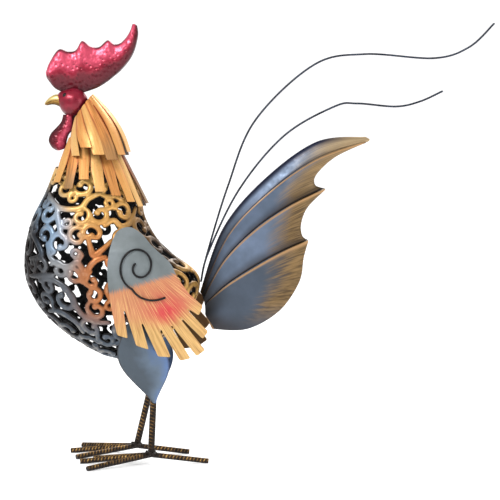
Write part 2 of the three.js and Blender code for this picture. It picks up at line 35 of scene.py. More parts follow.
# Camera, room and lights, in metres and watts
CAMERA_AT = (-0.009, -1.7, 0.300)
CAMERA_TO = (-0.009, 0.0, 0.210)
CAMERA_LENS = 122.6
CAMERA_SENSOR = 36
ROOM = {"front": -4.0, "back": 1.6, "turn": 1.2, "half_width": 6.0, "height": 3.5}
FLOOR_GLOW = 0.35
WORLD_LIGHT = 0.5
LIGHTS = {
    "key": ((-0.9, -1.4, 1.5), (0.6, 0.6), 20),
    "fill": ((1.3, -1.3, 0.7), (0.7, 1.0), 6),
    "back": ((0.4, 1.1, 1.5), (1.2, 0.8), 22),
}

# Body: level, chest edge, back edge and half width from the neck down to the belly
BODY_STATIONS = [
    [291, -201, -134, 28],
    [266, -211, -121, 39],
    [240, -224, -115, 50],
    [212, -231, -97, 57],
    [188, -231.5, -66, 60],
    [172, -227, -62, 59],
    [150, -214, -72, 54],
    [128, -190, -92, 43],
    [110, -161, -119, 25],
    [103, -140, -140, 0],
]
# The scrolls seen on the flank: x, z, radius, start in degrees and hand
FLANK_SCROLLS = [
    (-205, 248, 8.2, 40, -1),
    (-193, 219, 9.0, 235, -1),
    (-188, 271, 6.5, 150, 1),
    (-172, 274, 8.0, 180, 1),
    (-148, 271, 7.5, 200, 1),
    (-173, 245, 7.0, 70, -1),
    (-155, 247, 7.4, 180, 1),
    (-134, 249, 7.8, 160, -1),
    (-161, 229, 7.8, 205, -1),
    (-176, 226, 7.4, 60, 1),
    (-194, 193, 7.4, 150, -1),
    (-180, 188, 7.0, 100, -1),
    (-162, 183, 6.8, 60, 1),
    (-161, 170, 7.0, 100, -1),
    (-158, 155, 7.6, 130, 1),
    (-205, 178, 6.6, 60, 1),
    (-190, 165, 9.6, 75, -1),
    (-163, 137, 8.0, 60, 1),
    (-149, 125, 7.4, 130, 1),
    (-77, 180, 8.0, 120, -1),
    (-79, 164, 4.5, 90, 1),
]
# The fill of each half, as radius and clearance from the bars around; the right half is closer filled.
FILLS = {
    "body_left": [(10, 3.2), (8, 2.6), (6.4, 2.0), (4.8, 1.6)],
    "body_right": [(9, 1.6), (6.8, 1.3), (5.0, 1.0), (3.8, 0.8)],
}
# The long stems that wind between the scrolls in the side view
VINES = [
    [(-206, 266), (-199, 256), (-190, 252), (-174, 253), (-166, 262), (-152, 269)],
    [(-197, 254), (-195, 240), (-191, 225)],
    [(-205, 215), (-203, 206), (-195, 199), (-184, 197), (-176, 201), (-170, 193), (-171, 182)],
    [(-166, 226), (-163, 215), (-160, 208), (-152, 213), (-144, 221)],
    [(-167, 184), (-165, 194), (-159, 202), (-149, 206)],
    [(-214, 182), (-202, 184), (-188, 176), (-180, 162), (-172, 150), (-160, 143), (-146, 142)],
    [(-150, 236), (-142, 241), (-134, 235), (-126, 240), (-123, 252)],
    [(-224, 186), (-211, 187), (-200, 188)],
    [(-224, 232), (-217, 219), (-212, 207), (-224, 203)],
    [(-206, 152), (-196, 152), (-180, 143), (-172, 132)],
]
VINE_HALF_WIDTH = 3.5
VINE_STEPS = 50
FILL_ROWS = 40
FILL_COLUMNS = 30
SEAM_SIDE = 2.3
SEAM_STEPS = 120
COLLAR_U = 0.012
COLLAR_ANGLES = (7, 173)
COLLAR_STEPS = 60
# Coarser rims, to find room for the fill
PLAN_SEAM_STEPS = 18
PLAN_COLLAR_STEPS = 9
SCROLL_TURNS = 0.92
SCROLL_EYE = 0.36
SCROLL_SPREAD = 1.18
SCROLL_SHRINK = 1.7
SCROLL_STEPS = 22
SCROLL_TURN_STEP = 137.5
BAR_HALF_WIDTH = 3.3
BAR_HALF_DEPTH = 2.6
BAR_SIDES = 10
BAR_STEPS = 54
BULB = 3.9
BODY_VOXEL = 0.85
SOFTEN_ROUNDS = 3
LEAST_HALF_WIDTH = 4
ZONE_SHARPNESS = 3
# Where each paint colour, and each patch of painted shade, sits on the body in the side view: x, z, spread
# and colour
PAINT_ZONES = [
    (-172, 272, 28, (230, 184, 106)),
    (-140, 250, 28, (216, 162, 88)),
    (-172, 247, 20, (222, 172, 96)),
    (-161, 227, 17, (200, 132, 72)),
    (-160, 205, 20, (190, 114, 62)),
    (-163, 182, 17, (172, 110, 68)),
    (-160, 158, 18, (188, 114, 56)),
    (-206, 248, 17, (150, 180, 208)),
    (-194, 224, 17, (140, 168, 196)),
    (-192, 200, 14, (150, 152, 154)),
    (-202, 180, 17, (88, 92, 98)),
    (-192, 164, 20, (76, 86, 96)),
    (-166, 138, 20, (80, 90, 100)),
    (-178, 229, 14, (202, 154, 92)),
    (-178, 207, 13, (122, 118, 114)),
    (-184, 150, 18, (72, 82, 92)),
    (-175, 165, 12, (84, 90, 96)),
    (-188, 240, 10, (140, 166, 194)),
    (-186, 214, 11, (138, 160, 184)),
    (-150, 124, 17, (80, 90, 102)),
    # These near-black zones, along the chest edge and over the lower front, stand for the black chest rim
    # and, around it, for painted shade where the body curves away from the light.
    (-230, 200, 22, (26, 24, 26)),
    (-222, 240, 13, (30, 28, 30)),
    (-222, 165, 20, (30, 30, 34)),
    (-228, 224, 17, (28, 26, 28)),
    (-207, 144, 14, (38, 38, 42)),
    (-190, 130, 13, (42, 42, 46)),
    (-168, 116, 13, (44, 46, 52)),
    (-212, 262, 11, (34, 32, 34)),
    (-112, 240, 17, (70, 50, 34)),
    (-92, 205, 17, (66, 48, 34)),
    (-74, 176, 17, (206, 158, 86)),
]

# Head; comb and wattle as x and z of two edges, station by station
HEAD = {"x": -184.5, "z": 357, "radius": 14.5, "flat": 0.86}
HEAD_DENT_CELL = 6.5
HEAD_DENT_DEPTH = 0.35
BROW = 3.4
COMB = [
    [-211, 381, -212, 387],
    [-204, 372, -208, 397],
    [-197, 368, -199, 409.5],
    [-190, 366, -189, 407.5],
    [-182, 365, -182, 409],
    [-176, 366.5, -175.6, 418],
    [-168, 369, -167, 412.5],
    [-160, 372, -159, 412],
    [-151, 377.5, -150.3, 418.7],
    [-144, 383, -144, 415],
    [-137, 389, -138, 415.7],
    [-129, 398.5, -132, 421.5],
    [-123.5, 409, -127.5, 429],
    [-120, 424, -126, 434],
    [-121, 433, -124, 435],
]
WATTLE = [
    [-195, 345, -185.5, 345],
    [-197, 338, -185.2, 337],
    [-202, 332, -185.8, 330],
    [-207.5, 326, -189.5, 325],
    [-209.5, 319, -191.5, 319],
    [-206.5, 312.5, -193, 312],
    [-202, 309.5, -199, 309.3],
]
# Edges, depth, rows and points around of each domed shell
CUSHIONS = {
    "comb": (COMB, 14, 150, 120),
    "wattle": (WATTLE, 10, 70, 72),
}
DENT_CELL = 3.6
DENT_DEPTH = 1.1
DENT_LEVEL = 0.6
BEAK = {"base": (-195, 357.5), "tip": (-213.5, 355), "height": 7, "width": 5.5}
BEAK_ARCH = 2.4
BEAK_GROOVE = 0.16
BEAK_UNDER = 0.72
BEAK_HOOK = 1.4
EYE = {"x": -193.4, "z": 364.6, "radius": 1.84, "lift": 1.3, "shift": (1.2, 0, -1)}
# The eye's ring and bead, as radius and height
EYE_PROFILE = [
    (1.25, -1.2), (1.25, 0.35), (1.12, 0.62), (0.95, 0.45),
    (0.85, 0.55), (0.6, 0.95), (0.3, 1.12), (0.02, 1.18),
]
EYE_FLATNESS = 0.6

# Neck and hackle
NECK_RINGS = [[294.2, -166, 33, 24], [318, -168, 21, 16], [348, -178, 7.5, 6]]
NECK_WALL = 1.6
NECK_LEVELS = 40
NECK_SIDES = 64
NECK_DENT_CELL = 7
NECK_DENT_DEPTH = 0.5
HACKLES = {
    "hackle_upper": {
        "top": (-175, 9.5, 12.5),
        "tip": (-160, 30, 40),
        "level": 351,
        "lift": 14,
        "tips": [304, 312, 305, 300, 305, 308],
        "first": 50,
        "part": 0.72,
        "slit": 1.6,
        "bulge": 7,
    },
    "hackle_lower": {
        "top": (-168.5, 23.5, 17),
        "tip": (-162, 50, 43.5),
        "level": 322,
        "lift": 0,
        "tips": [278, 272, 281, 269, 265, 259, 254, 257],
        "first": 44,
        "part": 0.42,
        "slit": 5.5,
        "bulge": 1,
    },
}
HACKLE_ROWS = 44
HACKLE_COLUMNS = 9
HACKLE_CROWN = 0.8
HACKLE_BAND = 0.12
BAND_ROWS = 8
BAND_COLUMNS = 120
NAPE_TONE = 1.4
THROAT_BULGE = 0.35

# Wing
WING_BULGE = (-140, 130)
WING_LEVELS = [[100, 61], [130, 64], [160, 64.6], [188, 63.8], [212, 60], [236, 46]]
WING_EDGE = [
    [-140, 143],
    [-145, 173],
    [-146.5, 193],
    [-144.5, 213],
    [-138, 230],
    [-126, 234.5],
    [-114, 228],
    [-104, 217],
    [-87, 201],
    [-79, 186],
    [-68, 170],
]
WING_FINGERS = [
    [[-55, 158], [-59, 149], [-70, 156]],
    [[-50, 133], [-55, 126], [-77, 148]],
    [[-53, 115], [-61, 109], [-85, 139.5]],
    [[-67, 107], [-77, 105], [-96, 136.5]],
    [[-86, 109], [-98, 110], [-113, 142]],
    [[-107, 117], [-119, 121], [-130, 154.5]],
    [[-127, 128], [-137, 131]],
]
SLIT_WIDTH = 1.6
WING_FAN = (-142, 226)
WING_HOT = (-88, 150)
WING_HOT_SPREAD = 15
WING_SPACING = 2.0
WING_EDGE_STEPS = 110
WING_EDGE_SPACING = 1.4
WING_CORNER = 1.8
FINGER_BEND = 1.1
CHISEL_DEPTH = 0.16
# The line between the blue blade and the red, as z at two values of x
WING_LINE = ((-146, 171), (-73, 192))
SPIRAL = {"x": -116, "z": 197, "first": 5, "growth": 0.038, "from": 146, "turns": 465, "tail": 16}
SPIRAL_TAIL_TURN = 62
SPIRAL_SQUEEZE = 0.88
SPIRAL_STEPS = 220
SPIRAL_WIRE = 1.02
SPIRAL_STANDOFF = 1.2

# Thigh, legs and toes
THIGH = {"x": -113, "top": 152, "tip": 61, "width": 49, "upper": -56, "lower": -33.8, "crown": 5}
THIGH_LEAN = (10, -11)
THIGH_TAPER = 1.7
THIGH_ROWS = 70
THIGH_COLUMNS = 40
THIGH_DENT_CELL = 13
THIGH_DENT_DEPTH = 0.35
LEG_RADIUS = 3.5
TOE_RADIUS = 2.8
FOOT_LEVEL = 8.5
TOE_TIP_LEVEL = 2.1
LEGS = {
    "left": {"side": -1, "foot": (-107, -27), "top": (-102, -31.5, 116)},
    "right": {"side": 1, "foot": (-125, 27), "top": (-99, 31.5, 116)},
}
TOES = {
    "left": {"outer": (36, 73), "middle": (2, 70), "inner": (-15, 60), "back": (180, 57)},
    "right": {"outer": (36, 73), "middle": (6, 68), "inner": (-28, 66), "back": (180, 54)},
}
RIB_PITCH = 3.4
RIB_SLANT = 0.9
RIB_RISE = 0.15
ROD_CORE = 0.86
ROD_STEP = 0.55
ROD_SIDES = 36
# The way that the rods' gold faces: partly dry-brushed gold on their upper sides, partly painted light
# towards the key lamp, with painted shade on the side away from it
GILDED_AND_LIT_SIDE = (-0.25, -0.6, 0.8)
WELD_BEADS = 7
WELD_RING = 4.2
WELD_RADIUS = 2.3

# Tail: the leading edge and the ribs below it, each from the root to its tip
TAIL_RIBS = [
    [(-58.5, 168), (-36, 231), (4, 279), (57, 317.5), (106, 322.5)],
    [(-57, 166), (-30, 225), (8, 265.5), (56, 299.5), (106, 317.5)],
    [(-55.5, 162), (-34, 200), (-3, 231), (31, 254), (66, 271)],
    [(-54, 156), (-32, 175), (-5, 192.5), (22, 207.5), (49, 219.5)],
    [(-53.5, 146), (-52, 142), (-50, 138), (-48.5, 134.5), (-47, 131)],
]
# The trailing edge of each panel, from rib to rib, and how sharply its lines bend to meet it
TAIL_EDGES = [
    ([(106, 322.5), (110, 320), (106, 317.5)], 1),
    ([(106, 317.5), (76, 303.5), (57, 286), (55.5, 275), (66, 271)], 3),
    ([(66, 271), (48, 253), (41.5, 236), (43, 224), (49, 219.5)], 3),
    ([(49, 219.5), (44.5, 203), (40, 178), (20, 149), (-12, 131), (-47, 131)], 1),
]
TAIL_LINES = [12, 34, 34, 48]
TAIL_BULGE = 11
TAIL_RIB_HEIGHT = 3.2
TAIL_STEPS = 110
TAIL_INSIDE = (30, 40, 230)

# Plumes: depth and the points in the side view that each passes through
PLUME_RADIUS = 0.99
PLUME_STEPS = 260
PLUME_SIDES = 12
PLUMES = {
    "plume_upper": (1.2, [[-57.9, 179], [-52.5, 204], [-31, 274], [-4, 339], [54, 394], [105, 405],
                          [174, 401], [209, 412], [233.3, 435]]),
    "plume_lower": (-1.2, [[-57.9, 179], [-50.5, 208], [-19.5, 271], [25, 324], [75, 353], [98, 356],
                           [136, 353], [160, 358], [182, 368]]),
}

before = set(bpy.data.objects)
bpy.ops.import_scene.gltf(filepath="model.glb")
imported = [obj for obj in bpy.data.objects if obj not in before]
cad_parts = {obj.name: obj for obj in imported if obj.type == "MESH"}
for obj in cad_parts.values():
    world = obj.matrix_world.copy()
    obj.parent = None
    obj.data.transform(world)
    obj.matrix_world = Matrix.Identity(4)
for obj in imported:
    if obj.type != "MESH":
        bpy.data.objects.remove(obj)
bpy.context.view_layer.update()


# Curves and meshes


def lerp(a, b, share):
    return a + (b - a) * share


def unit(vectors):
    return vectors / np.maximum(np.linalg.norm(vectors, axis=-1, keepdims=True), 1e-12)


def circle(count):
    return np.linspace(0, 2 * math.pi, count, endpoint=False)


def ball(turns, levels, limit):
    """Points over a ball of radius 1, up to a limit in degrees near its poles, with their turn and rise."""
    turn, rise = np.meshgrid(circle(turns), np.radians(np.linspace(-limit, limit, levels)))
    points = np.stack([np.cos(rise) * np.cos(turn), np.cos(rise) * np.sin(turn), np.sin(rise)], axis=-1)
    return points, turn, rise


def smoothstep(low, high, value):
    share = np.clip((value - low) / (high - low), 0, 1)
    return share * share * (3 - 2 * share)


def spline(points, share):
    """A smooth curve through the points, at shares from 0 to 1 of the way along it."""
    p = np.asarray(points, float)
    place = np.clip(np.asarray(share, float), 0, 1) * (len(p) - 1)
    i = np.minimum(place.astype(int), len(p) - 2)
    f = (place - i)[..., None]
    p0, p1 = p[np.maximum(i - 1, 0)], p[i]
    p2, p3 = p[i + 1], p[np.minimum(i + 2, len(p) - 1)]
    v0, v1 = (p2 - p0) / 2, (p3 - p1) / 2
    return (2 * p1 - 2 * p2 + v0 + v1) * f**3 + (3 * p2 - 3 * p1 - 2 * v0 - v1) * f**2 + v0 * f + p1


def grid_faces(rows, columns, wrap=False):
    """Quads over a grid of points stored row by row; wrap joins each row's ends."""
    faces = []
    for r in range(rows - 1):
        for c in range(columns if wrap else columns - 1):
            a, b = r * columns + c, r * columns + (c + 1) % columns
            faces.append((a, b, b + columns, a + columns))
    return faces


VALUES = ("across", "along", "tone", "outer")


class Shape:
    """Points, faces and values of a mesh that is put together from parts."""

    def __init__(self):
        self.points, self.faces, self.count = [], [], 0
        self.values = {name: [] for name in VALUES}

    def add(self, points, faces, **values):
        points = np.asarray(points, float).reshape(-1, 3)
        self.faces += [tuple(i + self.count for i in face) for face in faces]
        self.points.append(points)
        for name in VALUES:
            self.values[name].append(np.broadcast_to(np.ravel(values.get(name, 0.0)), len(points)))
        self.count += len(points)

    def loft(self, rings, **values):
        """A skin over rings of points, with its two ends closed."""
        count, sides = rings.shape[:2]
        faces = grid_faces(count, sides, wrap=True)
        faces.append(tuple(range(sides)))
        faces.append(tuple(range((count - 1) * sides, count * sides)))
        spread = {name: np.broadcast_to(value, (count, sides)) for name, value in values.items()}
        self.add(rings, faces, **spread)

    def slab(self, middle, normal, faces, **values):
        """A sheet of even thickness over faces; normal points to its outer side."""
        count = len(middle)
        edges = {}
        for face in faces:
            for a, b in zip(face, (*face[1:], face[0])):
                edge = (min(a, b), max(a, b))
                edges[edge] = edges.get(edge, 0) + 1
        walls = [(a, b, b + count, a + count) for (a, b), times in edges.items() if times == 1]
        inner = [tuple(i + count for i in reversed(face)) for face in faces]
        points = np.concatenate([middle + normal * SHEET / 2, middle - normal * SHEET / 2])
        doubled = {name: np.tile(value, 2) for name, value in values.items()}
        self.add(points, [*faces, *inner, *walls], outer=np.repeat([1.0, 0.0], count), **doubled)

    def sheet(self, grid, centre, **values):
        """A slab over a grid of points, with its outer side facing away from centre."""
        rows, columns = grid.shape[:2]
        normal = unit(np.cross(np.gradient(grid, axis=1), np.gradient(grid, axis=0)))
        if np.sum(normal * (grid - centre)) < 0:
            normal = -normal
        spread = {name: np.broadcast_to(value, (rows, columns)).ravel() for name, value in values.items()}
        self.slab(grid.reshape(-1, 3), normal.reshape(-1, 3), grid_faces(rows, columns), **spread)


def sweep(path, wide, deep, sides, up):
    """Rings of a bar with rounded ends along a path; wide and deep are its half sizes, up is the deep way."""
    path = np.asarray(path, float)
    wide = np.broadcast_to(wide, len(path)).astype(float)
    deep = np.broadcast_to(deep, len(path)).astype(float)
    up = np.broadcast_to(up, path.shape)
    tangent = unit(np.gradient(path, axis=0))
    end = np.radians([80, 55, 30])
    start_at = path[0] - tangent[0] * (deep[0] * np.sin(end))[:, None]
    stop_at = path[-1] + tangent[-1] * (deep[-1] * np.sin(end[::-1]))[:, None]
    shrink = np.concatenate([np.cos(end), np.ones(len(path)), np.cos(end[::-1])])
    path = np.concatenate([start_at, path, stop_at])
    pad = ((3, 3), (0, 0))
    tangent, up = np.pad(tangent, pad, mode="edge"), np.pad(up, pad, mode="edge")
    wide, deep = np.pad(wide, 3, mode="edge") * shrink, np.pad(deep, 3, mode="edge") * shrink
    side = unit(np.cross(tangent, up))
    out = np.cross(side, tangent)
    angle = circle(sides)
    ring = wide[:, None, None] * np.cos(angle)[:, None] * side[:, None]
    return path[:, None] + ring + deep[:, None, None] * np.sin(angle)[:, None] * out[:, None]


def hammer(points, cell=DENT_CELL):
    """How high each point of a hammered surface stands: 0 in the hollows, 1 on the crests between them."""
    nearest = [noise.voronoi(Vector(p / cell))[0][0] for p in points]
    return np.clip(np.array(nearest) / 0.75, 0, 1)


def store(mesh, name, values):
    data = mesh.attributes.new(name, "FLOAT", "POINT").data
    data.foreach_set("value", values.astype(np.float32))


def mesh_of(name, shape, mirrored=False):
    points = np.concatenate(shape.points) * MM
    if mirrored:
        points = points * (1, -1, 1)
    mesh = bpy.data.meshes.new(name)
    mesh.from_pydata(points.tolist(), [], shape.faces)
    for value in VALUES:
        store(mesh, value, np.concatenate(shape.values[value]))
    tidy = bmesh.new()
    tidy.from_mesh(mesh)
    bmesh.ops.recalc_face_normals(tidy, faces=tidy.faces)
    tidy.to_mesh(mesh)
    tidy.free()
    mesh.shade_smooth()
    mesh.set_sharp_from_angle(angle=math.radians(50))
    return mesh


def linked(name, data):
    """A new object in the scene."""
    made = bpy.data.objects.new(name, data)
    bpy.context.scene.collection.objects.link(made)
    return made


def place(name, mesh, material, slot):
    """The piece that stands for the node of this name."""
    mesh.materials.append(material)
    piece = linked(name + "_metal", mesh)
    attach(piece, "root")
    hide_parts(name)


def place_shape(name, shape, material, slot, mirrored=False):
    place(name, mesh_of(name, shape, mirrored), material, slot)


def place_pair(name, shape, material, slot):
    place_shape(name + "_left", shape, material, slot)
    place_shape(name + "_right", shape, material, slot, mirrored=True)


# Materials


def paint_colour(red, green, blue):
    """A colour given as it looks on a screen, 0 to 255, as the shader's own light values."""
    share = np.array([red, green, blue]) / 255
    light = np.where(share <= 0.04045, share / 12.92, ((share + 0.055) / 1.055) ** 2.4)
    return (*light.tolist(), 1.0)


class Value:
    """An output of a material's nodes, for sums with numbers and other outputs."""

    def __init__(self, paint, socket):
        self.paint, self.socket = paint, socket

    def __add__(self, other):
        return self.paint.maths("ADD", self, other)

    def __sub__(self, other):
        return self.paint.maths("SUBTRACT", self, other)

    def __mul__(self, other):
        return self.paint.maths("MULTIPLY", self, other)


class Paint:
    """A metal's material, put together from nodes by short calls."""

    def __init__(self, name, metallic, coat=0.0):
        self.material = bpy.data.materials.new(name)
        self.material.use_nodes = True
        self.tree = self.material.node_tree
        self.shader = self.tree.nodes["Principled BSDF"]
        self.shader.inputs["Metallic"].default_value = metallic
        self.shader.inputs["Coat Weight"].default_value = coat
        self.shader.inputs["Coat Roughness"].default_value = 0.18
        self.place = self.node("ShaderNodeTexCoord", "Object", {})

    def node(self, kind, output, inputs, **settings):
        made = self.tree.nodes.new(kind)
        for name, value in settings.items():
            setattr(made, name, value)
        for name, value in inputs.items():
            self.feed(made.inputs[name], value)
        return Value(self, made.outputs[output])

    def feed(self, socket, value):
        """Links an output to a socket, or sets a number, or a colour as it looks on a screen."""
        if isinstance(value, Value):
            self.tree.links.new(value.socket, socket)
        elif isinstance(value, tuple):
            socket.default_value = paint_colour(*value)
        else:
            socket.default_value = value

    def value(self, name):
        return self.node("ShaderNodeAttribute", "Fac", {}, attribute_name=name)

    def colour(self, name):
        return self.node("ShaderNodeAttribute", "Color", {}, attribute_name=name)

    def maths(self, operation, a, b=0.0):
        return self.node("ShaderNodeMath", 0, {0: a, 1: b}, operation=operation)

    def span(self, value, low, high):
        """0 up to low, 1 from high on, smooth between; low may be the larger."""
        inputs = {"Value": value, "From Min": low, "From Max": high}
        return self.node("ShaderNodeMapRange", 0, inputs, interpolation_type="SMOOTHSTEP")

    def noise(self, scale, detail=4.0, at=None):
        inputs = {"Vector": at or self.place, "Scale": scale, "Detail": detail}
        return self.node("ShaderNodeTexNoise", "Fac", inputs)

    def vector(self, x, y, z):
        return self.node("ShaderNodeCombineXYZ", 0, {0: x, 1: y, 2: z})

    def mix(self, share, a, b):
        return self.node("ShaderNodeMix", 2, {0: share, 6: a, 7: b}, data_type="RGBA")

    def ramp(self, value, stops):
        made = self.node("ShaderNodeValToRGB", "Color", {"Fac": value})
        points = made.socket.node.color_ramp.elements
        while len(points) < len(stops):
            points.new(1.0)
        for point, (at, tint) in zip(points, stops):
            point.position = at
            point.color = paint_colour(*tint)
        return made

    def finish(self, colour, roughness, height, depth_mm, strength=0.6):
        bump = {"Height": height, "Distance": depth_mm * MM, "Strength": strength}
        self.feed(self.shader.inputs["Base Color"], colour)
        self.feed(self.shader.inputs["Roughness"], roughness)
        self.feed(self.shader.inputs["Normal"], self.node("ShaderNodeBump", "Normal", bump))
        return self.material

    def worn(self, low, high):
        """A roughness that wanders between two values."""
        inputs = {"Value": self.noise(240), "From Min": 0.3, "From Max": 0.7, "To Min": low, "To Max": high}
        return self.node("ShaderNodeMapRange", 0, inputs)


def red_lacquer():
    paint = Paint("red_lacquer", metallic=0.5, coat=0.3)
    wander = (paint.noise(110) - 0.5) * 0.16
    # Painted light: across runs from the comb's lower edge and the wattle's front edge to their other edge,
    # so this ramp paints shade along the first edge, a pink highlight towards the second and a dark shaded
    # rim right on it.
    tint = paint.ramp(paint.value("across") + wander, [
        (0.0, (52, 4, 16)),
        (0.1, (84, 6, 24)),
        (0.36, (106, 10, 32)),
        (0.5, (160, 26, 54)),
        (0.62, (218, 78, 106)),
        (0.93, (218, 76, 104)),
        (1.0, (92, 8, 28)),
    ])
    # Painted shade: the hollows of the hammered dents are darkened towards maroon.
    dent_shaded = paint.mix(paint.span(paint.value("tone"), 0.6, 0.15) * 0.8, tint, (84, 5, 24))
    return paint.finish(dent_shaded, paint.worn(0.26, 0.42), paint.noise(900), 0.15)


def beak_gold():
    paint = Paint("beak_gold", metallic=0.7)
    # Painted light: a high tone, on top of the beak, is pale gold, and a low tone, underneath and in the
    # groove, is dark.
    tint = paint.ramp(paint.value("tone") + paint.noise(400) * 0.3, [
        (0.1, (38, 26, 14)),
        (0.5, (150, 112, 52)),
        (0.95, (238, 212, 142)),
    ])
    return paint.finish(tint, paint.worn(0.3, 0.48), paint.noise(1400), 0.1)


def black_iron():
    paint = Paint("black_iron", metallic=0.5)
    tint = paint.ramp(paint.noise(160), [
        (0.3, (12, 12, 14)),
        (0.55, (26, 25, 27)),
        (0.8, (58, 52, 48)),
    ])
    return paint.finish(tint, paint.worn(0.35, 0.6), paint.noise(700), 0.2)


def hackle_gold():
    paint = Paint("hackle_gold", metallic=0.3)
    across, along, tone = paint.value("across"), paint.value("along"), paint.value("tone")
    streak = paint.noise(1.0, 5.0, paint.vector(across * 9.0, along * 2.2, tone * 40.0))
    base = paint.ramp(tone * 0.5 + streak * 0.7, [
        (0.2, (244, 200, 130)),
        (0.5, (238, 178, 102)),
        (0.75, (228, 150, 78)),
        (1.0, (124, 78, 44)),
    ])
    edge = paint.maths("ABSOLUTE", across - 0.5)
    # Orange-red along both edges of each strip, fading towards its tip: partly the strips' own colour, partly
    # painted shade in the creases where the strips overlap.
    crease_red_and_shade = paint.span(edge, 0.3, 0.5) * paint.span(along, 0.85, 0.25)
    crease_red_and_shaded = paint.mix(crease_red_and_shade * 0.8, base, (186, 74, 38))
    olive = paint.span(tone, 0.72, 0.9) * paint.span(along, 0.45, 0.95)
    aged = paint.mix(olive * 0.75, crease_red_and_shaded, (150, 122, 82))
    # Painted shade: a dark brown line right on the edges of each strip, where it meets the next.
    rimmed = paint.mix(paint.span(edge, 0.47, 0.5) * 0.6, aged, (112, 60, 30))
    grain = paint.mix(paint.span(paint.noise(650), 0.55, 0.75), rimmed, (166, 116, 62))
    speckled = paint.mix(0.35, rimmed, grain)
    inside = paint.mix(paint.value("outer"), (46, 32, 22), speckled)
    return paint.finish(inside, paint.worn(0.34, 0.5), paint.noise(520), 0.2)


def scroll_paint():
    paint = Paint("scroll_paint", metallic=0.5)
    zone = paint.colour("zone")
    # The ridge height picks the colour: near black on the inner faces and low down, a darker zone colour on
    # the bars' sides, the zone colour on top and a pale tint on the highest crests. This is partly
    # dry-brushed paint and partly painted shade on the sides, in the recesses and inside the body, with a
    # painted highlight on the crests.
    ridge = paint.value("tone") + (paint.noise(190) - 0.5) * 0.35
    shade = paint.mix(0.66, zone, (36, 24, 18))
    lower = paint.mix(paint.span(ridge, 0.42, 0.66), (11, 10, 10), shade)
    painted = paint.mix(paint.span(ridge, 0.64, 0.88), lower, zone)
    bright = paint.mix(0.3, zone, (255, 240, 214))
    brushed_and_highlit = paint.mix(paint.span(ridge, 0.95, 1.15), painted, bright)
    return paint.finish(brushed_and_highlit, paint.worn(0.3, 0.5), paint.noise(420), 0.35)


def wing_paint():
    paint = Paint("wing_paint", metallic=0.25)
    above, fan, hot = paint.value("along"), paint.value("across"), paint.value("tone")
    streak = paint.noise(1.0, 6.0, paint.vector(fan * 46.0, above * 0.035, 0.0))
    fine = paint.noise(1.0, 3.0, paint.vector(fan * 130.0, above * 0.03, 3.0))
    ragged = above + (streak - 0.5) * 16.0
    coral = paint.mix(hot, (202, 148, 102), (206, 58, 66))
    gold = paint.mix(paint.span(streak, 0.4, 0.65), (216, 174, 108), (192, 148, 88))
    lower = paint.mix(paint.span(ragged + hot * 16.0, -17.0, -43.0), coral, gold)
    lined = paint.mix(paint.span(fine, 0.54, 0.64) * 0.75, lower, (232, 188, 124))
    scratched = paint.mix(paint.span(fine, 0.44, 0.32) * 0.45, lined, (150, 92, 60))
    blue = paint.ramp(paint.noise(28.0, 5.0), [
        (0.3, (100, 108, 110)),
        (0.5, (120, 128, 130)),
        (0.7, (136, 144, 148)),
    ])
    whole = paint.mix(paint.span(ragged, 3.0, -3.0), blue, scratched)
    inside = paint.mix(paint.value("outer"), (96, 70, 42), whole)
    return paint.finish(inside, paint.worn(0.36, 0.55), fine, 0.25, 0.5)


def thigh_blue():
    paint = Paint("thigh_blue", metallic=0.5)
    # Painted sheen: the across term makes each thigh bluer and lighter towards its edge on the tail side.
    tint = paint.ramp(paint.noise(22.0, 5.0) + paint.value("across") * 0.22, [
        (0.35, (78, 88, 98)),
        (0.55, (98, 114, 132)),
        (0.8, (96, 124, 172)),
    ])
    rimmed = paint.mix(paint.span(paint.value("tone"), 0.9, 1.0) * 0.6, tint, (52, 44, 40))
    return paint.finish(rimmed, paint.worn(0.3, 0.5), paint.noise(300), 0.3)


